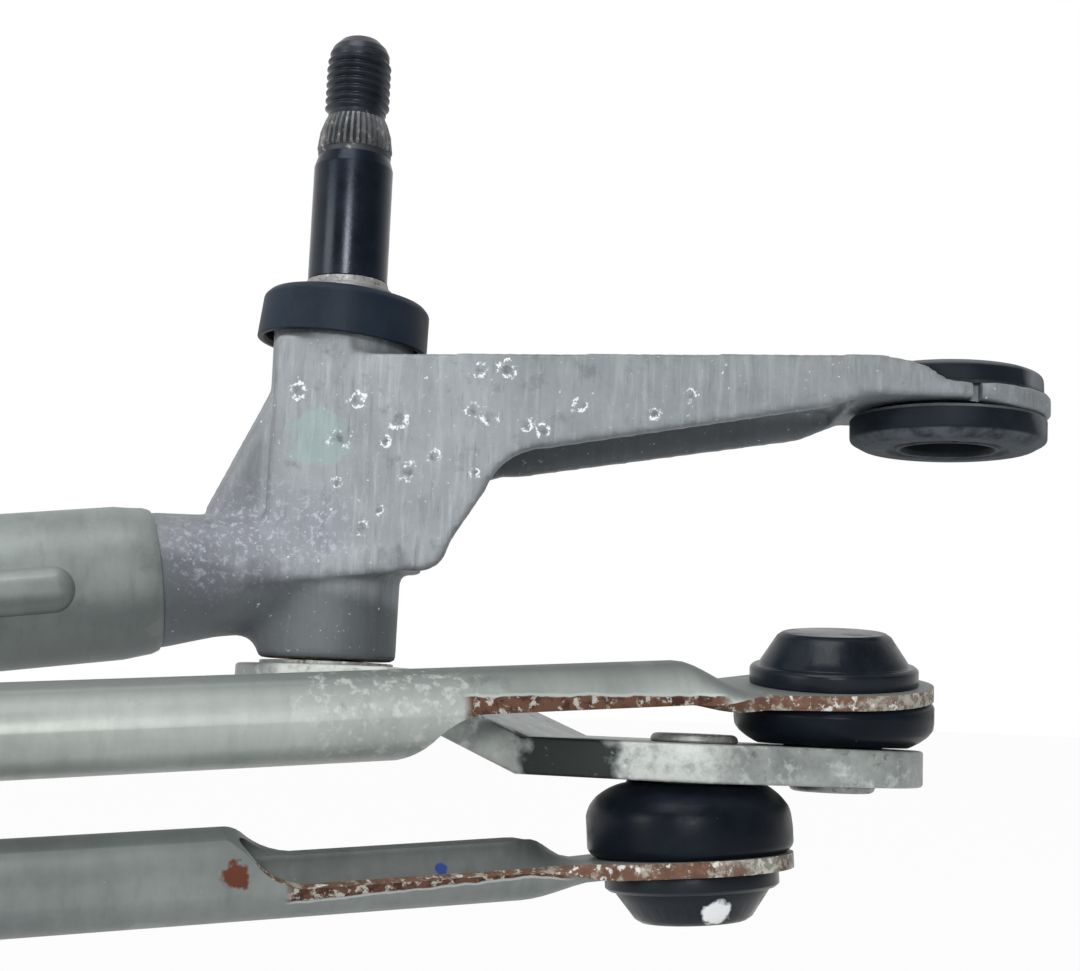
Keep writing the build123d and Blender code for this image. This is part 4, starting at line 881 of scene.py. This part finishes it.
# %% Grommets
GROMMET_OUTLINE = [
    (6.7, 0.9, 0.5), (7.1, 0.05, 0.3), (7.7, 0.05, 0.3), (8.0, 0.5, 0.2), (8.8, 0.5, 0.3),
    (9.3, 0.0, 0.6), (12.6, 0.1, 2.0), (14.65, 1.25, 0.9), (14.7, 4.35, 0.5),
    (14.1, 4.9, 0.3), (11.08, 4.9, 0.0), (11.08, 8.0, 0.0), (13.9, 8.0, 0.3),
    (14.2, 8.5, 0.4), (14.1, 11.0, 1.2), (12.6, 11.7, 2.0), (7.1, 11.6, 0.4),
    (6.7, 11.0, 0.5),
]
for node in ("right_eye_grommet", "left_eye_grommet", "bracket_grommet"):
    low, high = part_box(node)
    foot = Vector(((low.x + high.x) / 2, (low.y + high.y) / 2, low.z))
    present(node, turned(GROMMET_OUTLINE, foot), 40.0)

# %% [markdown]
# ## Wiper spindles
# The spindle is one turned bar. Its shaft and nose come from an outline. The thread and the
# knurl repeat, so Geometry Nodes make them: a triangular ridge that is swept along a spiral
# and fades at both ends, and a wedge copied round the axis.

# %% Geometry Nodes for a ridge on a spiral and for copies round an axis
RIDGE_CORNERS = ((0.2, -0.62), (-0.45, -0.06), (-0.45, 0.06), (0.2, 0.62))


def new_tree(name, **inputs):
    """Geometry Nodes tree with named inputs, each with its kind of socket."""
    tree = bpy.data.node_groups.new(name, "GeometryNodeTree")
    tree.interface.new_socket("Geometry", in_out="INPUT", socket_type="NodeSocketGeometry")
    for label, kind in inputs.items():
        tree.interface.new_socket(label, in_out="INPUT", socket_type="NodeSocket" + kind)
    tree.interface.new_socket("Geometry", in_out="OUTPUT", socket_type="NodeSocketGeometry")
    return tree, add(tree, "NodeGroupInput").outputs, add(tree, "NodeGroupOutput")


def finish_tree(tree, given, output, geometry):
    """Close a tree with Realize Instances and Set Material."""
    real = add(tree, "GeometryNodeRealizeInstances", {"Geometry": geometry})
    add_finish = add(tree, "GeometryNodeSetMaterial", {
        "Geometry": real.outputs[0], "Material": given["finish"],
    })
    tree.links.new(add_finish.outputs[0], output.inputs[0])
    return tree


def spiral_ridge():
    """Thread ridge: pitch, turns, root radius, place and finish are its inputs."""
    tree, given, output = new_tree(
        "spiral ridge", pitch="Float", turns="Float", root_radius="Float", place="Vector",
        finish="Material",
    )
    height = maths(tree, "MULTIPLY", given["pitch"], given["turns"])
    spiral = add(tree, "GeometryNodeCurveSpiral", {
        "Resolution": 72, "Rotations": given["turns"], "Height": height,
        "Start Radius": given["root_radius"], "End Radius": given["root_radius"],
    })
    upright = add(tree, "GeometryNodeSetCurveNormal", {"Curve": spiral.outputs[0]}, mode="Z_UP")
    along = add(tree, "GeometryNodeSplineParameter").outputs["Factor"]
    rise = ramp(tree, along, 0.0, 0.05, 0.1, 1.0)
    fall = ramp(tree, along, 0.86, 1.0, 1.0, 0.1)
    profile = add(tree, "GeometryNodeCurvePrimitiveQuadrilateral", mode="POINTS")
    for number, corner in enumerate(RIDGE_CORNERS):
        point = add(tree, "ShaderNodeVectorMath", {
            0: (*corner, 0.0), "Scale": given["pitch"],
        }, operation="SCALE")
        tree.links.new(point.outputs[0], profile.inputs[f"Point {number + 1}"])
    ridge = add(tree, "GeometryNodeCurveToMesh", {
        "Curve": upright.outputs[0], "Profile Curve": profile.outputs[0],
        "Scale": maths(tree, "MINIMUM", rise, fall), "Fill Caps": True,
    })
    placed = add(tree, "GeometryNodeTransform", {
        "Geometry": ridge.outputs[0], "Translation": given["place"],
    })
    return finish_tree(tree, given, output, placed.outputs[0])


def copies_round_axis():
    """Copies of a piece, evenly turned about an upright axis."""
    tree, given, output = new_tree(
        "copies round an axis", piece="Object", count="Int", place="Vector", finish="Material"
    )
    points = add(tree, "GeometryNodePoints", {"Count": given["count"]})
    step = maths(tree, "DIVIDE", 2 * pi, given["count"])
    turn = maths(tree, "MULTIPLY", add(tree, "GeometryNodeInputIndex").outputs[0], step)
    angles = add(tree, "ShaderNodeCombineXYZ", {"Z": turn})
    rotation = add(tree, "FunctionNodeEulerToRotation", {"Euler": angles.outputs[0]})
    copies = add(tree, "GeometryNodeInstanceOnPoints", {
        "Points": points.outputs[0],
        "Instance": add(tree, "GeometryNodeObjectInfo", {
            "Object": given["piece"],
        }).outputs["Geometry"],
        "Rotation": rotation.outputs[0],
    })
    placed = add(tree, "GeometryNodeTranslateInstances", {
        "Instances": copies.outputs[0], "Translation": given["place"],
        "Local Space": False,
    })
    return finish_tree(tree, given, output, placed.outputs[0])


def grow(name, tree, **values):
    """Plain mesh object of a Geometry Nodes tree with its inputs set by name."""
    piece = new_object(name, bpy.data.meshes.new(name))
    modifier = piece.modifiers.new("nodes", "NODES")
    modifier.node_group = tree
    sockets = {
        item.name: item.identifier
        for item in tree.interface.items_tree if item.in_out == "INPUT"
    }
    for label, value in values.items():
        modifier[sockets[label]] = value
    return settle(piece)


SPIRAL_RIDGE = spiral_ridge()
COPIES_ROUND_AXIS = copies_round_axis()
print("trees:", SPIRAL_RIDGE.name, "and", COPIES_ROUND_AXIS.name)

# %% [markdown]
# The knurl's wedge is narrow at its crest and ends in a slope, because the knurl was rolled
# on a cone. Shaft, thread, knurl and the band under the knurl keep finishes of their own, so
# the spindle is joined from five meshes that carry four finishes.

# %% Spindles
THREAD_ROOT_R = 4.35
THREAD_PITCH = 1.25
THREAD_TURNS = 7.4
THREAD_START_Z = 83.5
KNURL_COUNT = 36
KNURL_ROWS = (
    (77.35, 5.1, 5.5, 0.45, 0.28), (77.7, 5.1, 5.72, 0.45, 0.2), (80.2, 4.85, 5.4, 0.42, 0.18),
    (82.0, 4.4, 4.8, 0.38, 0.16), (82.6, 4.3, 4.5, 0.36, 0.2),
)
SPINDLE_OUTLINE = [
    (0.0, -7.1, 0.0), (6.0, -7.1, 1.0), (6.0, -5.9, 0.2), (5.0, -5.9, 0.0), (5.0, -0.9, 0.0),
    (6.0, -0.9, 0.2), (6.0, 54.6, 0.1), (5.6, 54.6, 0.0), (5.6, 57.0, 0.0), (6.0, 57.0, 0.1),
    (6.0, 74.7, 0.5), (5.5, 76.4, 0.3), (5.4, 77.2, 0.1), (5.1, 77.4, 0.0), (0.0, 77.4, 0.0),
]
UPPER_OUTLINE = [
    (0.0, 77.0, 0.0), (5.15, 77.0, 0.0), (5.15, 77.9, 0.2), (4.4, 82.3, 0.3),
    (4.35, 83.2, 0.2), (4.35, 92.2, 0.2), (4.6, 92.9, 0.3), (4.1, 94.0, 0.25),
    (2.9, 95.2, 0.25), (2.6, 95.35, 0.1), (0.0, 95.4, 0.0),
]
BAND_OUTLINE = [(5.2, 76.2, 0.1), (5.52, 76.4, 0.2), (5.58, 77.2, 0.2), (5.2, 77.6, 0.1)]


def knurl_wedge():
    """One rib of the knurl, pointing along X from the axis."""
    shell = bmesh.new()
    rings = [
        [
            shell.verts.new(Vector((r, y, z)) * MM)
            for r, y in ((root, -wide), (crest, -narrow), (crest, narrow), (root, wide))
        ]
        for z, root, crest, wide, narrow in KNURL_ROWS
    ]
    for low, high in zip(rings, rings[1:]):
        bridge(shell, low, high)
    shell.faces.new(rings[0][::-1])
    shell.faces.new(rings[-1])
    bmesh.ops.recalc_face_normals(shell, faces=shell.faces)
    return add_piece("knurl_wedge", shell)


def spindle(side, axis):
    """Spindle of one side, joined from shaft, top, thread, knurl and band."""
    node = side + "_spindle"
    shaft = add_piece(node + "_finished", turned(SPINDLE_OUTLINE, axis), "blackened_steel")
    top = add_piece(side + "_spindle_top", turned(UPPER_OUTLINE, axis), "worn_thread")
    ridge = grow(
        side + "_thread", SPIRAL_RIDGE, pitch=THREAD_PITCH * MM, turns=THREAD_TURNS,
        root_radius=THREAD_ROOT_R * MM, place=beside(axis, 0.0, 0.0, THREAD_START_Z),
        finish=finishes["worn_thread"],
    )
    wedge = knurl_wedge()
    knurl = grow(
        side + "_knurl", COPIES_ROUND_AXIS, piece=wedge, count=KNURL_COUNT, place=axis,
        finish=finishes["worn_knurl"],
    )
    bpy.data.objects.remove(wedge)
    band = add_piece(side + "_band", turned(BAND_OUTLINE, axis), "worn_band")
    for part in (shaft, top, band):
        settle(part, 40.0)
    return stand_in(merge([shaft, top, ridge, knurl, band]), node)


for side, axis in (("right", RIGHT_AXIS), ("left", LEFT_AXIS)):
    print(side, "spindle faces:", len(spindle(side, axis).data.polygons))

# %% [markdown]
# ## Cap, rings and washers
# A cup of black polyamide keeps water off the barrel, a pressed ring holds the spindle down,
# and a thin washer carries the lever. Cap and ring are turned from outlines of their own,
# and the washer keeps its CAD shape. The right cap sits askew, as in the photograph.

# %% Caps, rings and washers
CAP_TILT = radians(4.0)
CAP_SEAT_Z = 50.6
CAP_TOP_Z = 54.3
CAP_OUTLINE = [
    (7.4, CAP_TOP_Z, 0.2), (11.5, CAP_TOP_Z, 1.4), (12.5, 53.2, 1.2), (12.8, 46.95, 0.25),
    (12.0, 46.9, 0.2), (11.6, 47.6, 0.3), (11.3, 52.8, 0.3), (7.4, 52.9, 0.2),
]
RING_OUTLINE = [
    (5.62, 54.6, 0.0), (6.85, 54.6, 0.15), (6.9, 55.7, 0.3), (6.35, 55.9, 0.1),
    (6.1, 56.9, 0.2), (5.62, 57.0, 0.0),
]


def cap(side, axis, tilt):
    """Upside-down cup with a rounded shoulder and a thin lip; it may sit askew."""
    shell = turned(CAP_OUTLINE, axis)
    ahead = Vector((sin(CAMERA_TURN), cos(CAMERA_TURN), 0.0))
    bmesh.ops.rotate(
        shell, cent=beside(axis, 0.0, 0.0, CAP_SEAT_Z), matrix=Matrix.Rotation(tilt, 3, ahead),
        verts=shell.verts,
    )
    present(side + "_cup_cap", shell, 45.0)


for side, axis, tilt in (("right", RIGHT_AXIS, CAP_TILT), ("left", LEFT_AXIS, 0.0)):
    cap(side, axis, tilt)
    present(side + "_retaining_ring", turned(RING_OUTLINE, axis), 30.0)
    dress(side + "_thrust_washer", 0.12)
print("cap top at", round(RIGHT_AXIS.z + CAP_TOP_Z * MM, 4))

# %% [markdown]
# ## Tube, levers and rods
# The frame tube is swaged and crimped in the CAD model already. Its rim is rounded, and a bead
# runs along its front, where the light in the photograph shows raised metal. The levers are
# punched from plate, which leaves a rolled edge. The rods' ends are tube opened and pressed
# flat, and their cut edges show bare steel: a face with more steel behind it than the sheet is
# thick is such an edge. Rust has crept from these edges along the side that faces the camera.

# %% Levers, tube and plate
TUBE_RISE = radians(8.2)
TUBE_AXIS_Z = 13.9 * MM
BEAD_R = 3.3 * MM
BEAD_START = 37.7 * MM
BEAD_LENGTH = 20.0 * MM
BEAD_Y = -9.4 * MM
BEAD_Z = -0.6 * MM


def tube_bead():
    """Long rounded bead between the crimp marks along the front of the tube."""
    bpy.ops.mesh.primitive_uv_sphere_add(segments=48, ring_count=32, radius=BEAD_R)
    bead = bpy.context.object
    for vertex in bead.data.vertices:
        vertex.co.x += BEAD_LENGTH / 2 * (1 if vertex.co.x > 0 else -1)
    lean = Matrix.Rotation(-TUBE_RISE, 4, "Y")
    start = RIGHT_AXIS + Vector((0.0, 0.0, TUBE_AXIS_Z))
    along = -(BEAD_START + BEAD_R + BEAD_LENGTH / 2)
    bead.data.transform(
        Matrix.Translation(start) @ lean @ Matrix.Translation((along, BEAD_Y, BEAD_Z))
    )
    bead.data.materials.append(finishes["galvanised_tube"])
    bead.data.shade_smooth()
    return bead


merge([dress("frame_tube", 0.35), tube_bead()])
for node in ("right_lever", "left_lever", "crank_arm"):
    dress(node, 0.7)
dress("motor_bracket", 0.5)
print("levers and tube ready")

# %% Link rods
SHEET_LIMIT = 2.2
SEAM_STRETCH = (21.0, 57.0)
SEAM_BEND = 8.0
NEARER = (0.0, -1.0, 0.0)
WORN_PLACE = beside(RIGHT_AXIS, 0.0, -39.6, -8.9)
BLUE_MARK = beside(RIGHT_AXIS, 9.9, -29.7, -27.3)
RUST_BLOB = beside(RIGHT_AXIS, -18.9, -39.8, -27.2)


def level_over(coat, point, normal):
    """Height of a place over a plane, in metres."""
    away = add(coat.tree, "ShaderNodeVectorMath", {
        0: coat.place, 1: tuple(point),
    }, operation="SUBTRACT").outputs[0]
    return measure(coat.tree, "DOT_PRODUCT", away, normal)


def between(coat, value, low, high, soft):
    """Mask that is 1 between two levels, with soft limits; all in millimetres."""
    rise = ramp(coat.tree, value, low * MM, (low + soft) * MM)
    fall = ramp(coat.tree, value, high * MM, (high - soft) * MM)
    return both(coat, rise, fall)


def rusty_seam(coat, ball, point, normal, depth):
    """Rust that has crept from the cut edge of a rod's opened end up its side."""
    uneven = noise(coat.tree, coat.place, 2.6, 5.0)
    height = maths(
        coat.tree, "MULTIPLY_ADD", uneven, 0.9 * MM, level_over(coat, point, -normal)
    )
    away = measure(coat.tree, "DISTANCE", coat.place, ball)
    ahead = ramp(coat.tree, level_over(coat, ball, NEARER), 0.0, MM)
    stretch = both(coat, between(coat, away, *SEAM_STRETCH, 1.2), ahead)
    brown = both(coat, stretch, between(coat, height, -1.2, depth + 0.45, 0.12))
    stain(coat, brown, "6A4B3B", 0.85)
    spots(coat, 1.6, 0.48, 0.60, 33.0, "472D22", 0.85, inside=brown)
    spots(coat, 1.3, 0.54, 0.59, 31.0, "B9B6AC", 0.85, inside=brown)
    lip = both(coat, stretch, between(coat, height, depth + 0.4, depth + 0.85, 0.12))
    stain(coat, lip, "C2C5C0", 0.6, 0.6)


def rod(node, coat, ball, depth):
    """Link rod with rusted cut edges: faces with more steel behind them than the sheet has."""
    shell = joined(node)
    tree = BVHTree.FromBMesh(shell)
    run = []
    for face in shell.faces:
        middle = face.calc_center_median()
        hit, _, _, behind = tree.ray_cast(middle - face.normal * 0.01 * MM, -face.normal)
        if not hit or behind < SHEET_LIMIT * MM or middle.y > ball.y:
            continue
        face.material_index = 1
        if SEAM_STRETCH[0] < (middle - ball).length / MM < SEAM_STRETCH[1] - SEAM_BEND:
            run.append(face)
    area = sum(face.calc_area() for face in run)
    normal = sum((face.normal * face.calc_area() for face in run), Vector()).normalized()
    point = sum((face.calc_center_median() * face.calc_area() for face in run), Vector()) / area
    rusty_seam(coat, ball, point, normal, depth)
    whole_faces(shell, delimit={"MATERIAL"})
    finishes[node] = coat.material
    piece = add_piece(node + "_finished", shell, node, "cut_edge")
    print(node, "has", len(run), "cut faces that look", [round(c, 2) for c in normal])
    return stand_in(settle(round_edges(piece, 0.25, 2)), node)


# For each rod the last two numbers are the shares of painted shade on the faces that look down and up.
pale_coat = galvanised("galvanised_short_rod", "979D97", "B6BCB7", (1.0, 0.3, 0.3), 0.0, 0.9)
worn = around(pale_coat, WORN_PLACE, 14.0, 0.7)
spots(pale_coat, 1.3, 0.52, 0.62, 21.0, "D3D6D2", 0.7, 0.5, inside=worn)
rod("short_link_rod", pale_coat, OUTER_BALL, 1.7)
dark_coat = galvanised("galvanised_long_rod", "6F7573", "8E9491", (1.0, 0.3, 0.3), 0.3, 0.5)
stain(dark_coat, around(dark_coat, BLUE_MARK, 1.0, 0.3), "3B56A0", 0.6)
stain(dark_coat, around(dark_coat, RUST_BLOB, 1.9, 0.8), "6A3C2B", 0.85)
rod("long_link_rod", dark_coat, INNER_BALL, 0.9)

# %% [markdown]
# ## Ball joints
# The sockets, boots and studs have their shapes in the CAD model. Their moulded edges are
# rounded here, which gives the glossy rims that the photograph shows. On the right lever each
# socket is a little flatter than its blank, and each boot narrows towards the lever.

# %% Sockets, boots and studs
SHORT_ROD_UP = Vector((-0.076, -0.122, 0.990))
LONG_ROD_UP = Vector((-0.069, 0.035, 0.997))
BALL_ROOM = 7.2 * MM
FLANGE_ROOM = 7.5 * MM
SOCKET_FOOT = 1.2 * MM
BOOT_SHOULDER = ((0.45, 1.0), (0.6, 0.99), (0.72, 0.97), (0.84, 0.93), (0.93, 0.89), (1.0, 0.85))


def press_socket(node, ball, outward, kept):
    """Socket pressed a little flatter; the hollow round the ball keeps its shape."""
    shell = whole_faces(joined(node))
    for vertex in shell.verts:
        away = vertex.co - ball
        height = away.dot(outward) - SOCKET_FOOT
        if height > 0 and away.length > BALL_ROOM:
            vertex.co -= outward * height * (1 - kept)
    present(node, shell, edge=0.35)


def shoulder_width(share):
    """Width of a boot, as a share of its blank, at a share of the way to the lever."""
    width = 1.0
    for (low, wide), (high, narrow) in zip(BOOT_SHOULDER, BOOT_SHOULDER[1:]):
        if share > low:
            width = wide + (narrow - wide) * min((share - low) / (high - low), 1.0)
    return width


def narrow_boot(node, ball, upright, reach):
    """Boot that narrows to the lever, with its foot level and its bore clear of the stud."""
    shell = whole_faces(joined(node))
    for share, _ in BOOT_SHOULDER:
        bmesh.ops.bisect_plane(
            shell, geom=[*shell.verts, *shell.edges, *shell.faces],
            plane_co=ball - upright * (1 + share * (reach - 1)) * MM, plane_no=upright,
        )
    for vertex in shell.verts:
        away = vertex.co - ball
        height = away.dot(upright)
        spread = away - upright * height
        if spread.length > FLANGE_ROOM:
            scale = shoulder_width((-height / MM - 1) / (reach - 1))
            scale = max(scale, FLANGE_ROOM / spread.length)
            vertex.co = ball + upright * height + spread * scale
    present(node, shell, 38.0)


press_socket("short_rod_right_socket", OUTER_BALL, SHORT_ROD_UP, 0.92)
narrow_boot("short_rod_right_boot", OUTER_BALL, Vector(UP), 8.0)
press_socket("long_rod_right_socket", INNER_BALL, -LONG_ROD_UP, 0.86)
narrow_boot("long_rod_right_boot", INNER_BALL, Vector(DOWN), 11.0)
for node in sorted(body_of):
    if node.endswith("ball_stud"):
        dress(node, 0.4)
    elif node.endswith(("_socket", "_boot")) and "_rod_right" not in node:
        dress(node, 0.3)
print("ball joints:", sum(node.endswith("_socket") for node in body_of))

# %% [markdown]
# ## Motor and gearbox
# The motor isn't in the photograph. It is dressed like a common one of its kind.

# %% Motor pieces
for node, radius in (
    ("motor_can", 0.6), ("gear_cover", 0.6), ("connector", 0.4), ("connector_terminals", 0.15),
    ("output_shaft", 0.3), ("output_bush", 0.3), ("crank_nut", 0.5),
):
    dress(node, radius)

# %% [markdown]
# ## The other nodes
# What is hidden inside keeps its CAD mesh and gets the finish of its slot.

# %% Finishes of the CAD nodes that stay
for node, solid in frame["nodes"].items():
    for slot in solid.material_slots:
        slot.material = finishes[slot_of[node]]
print("finished", len(frame["nodes"]), "nodes")

# %% Close
size = {"cad": [list(corner) for corner in cad_box], "visual": [list(c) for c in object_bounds()]}
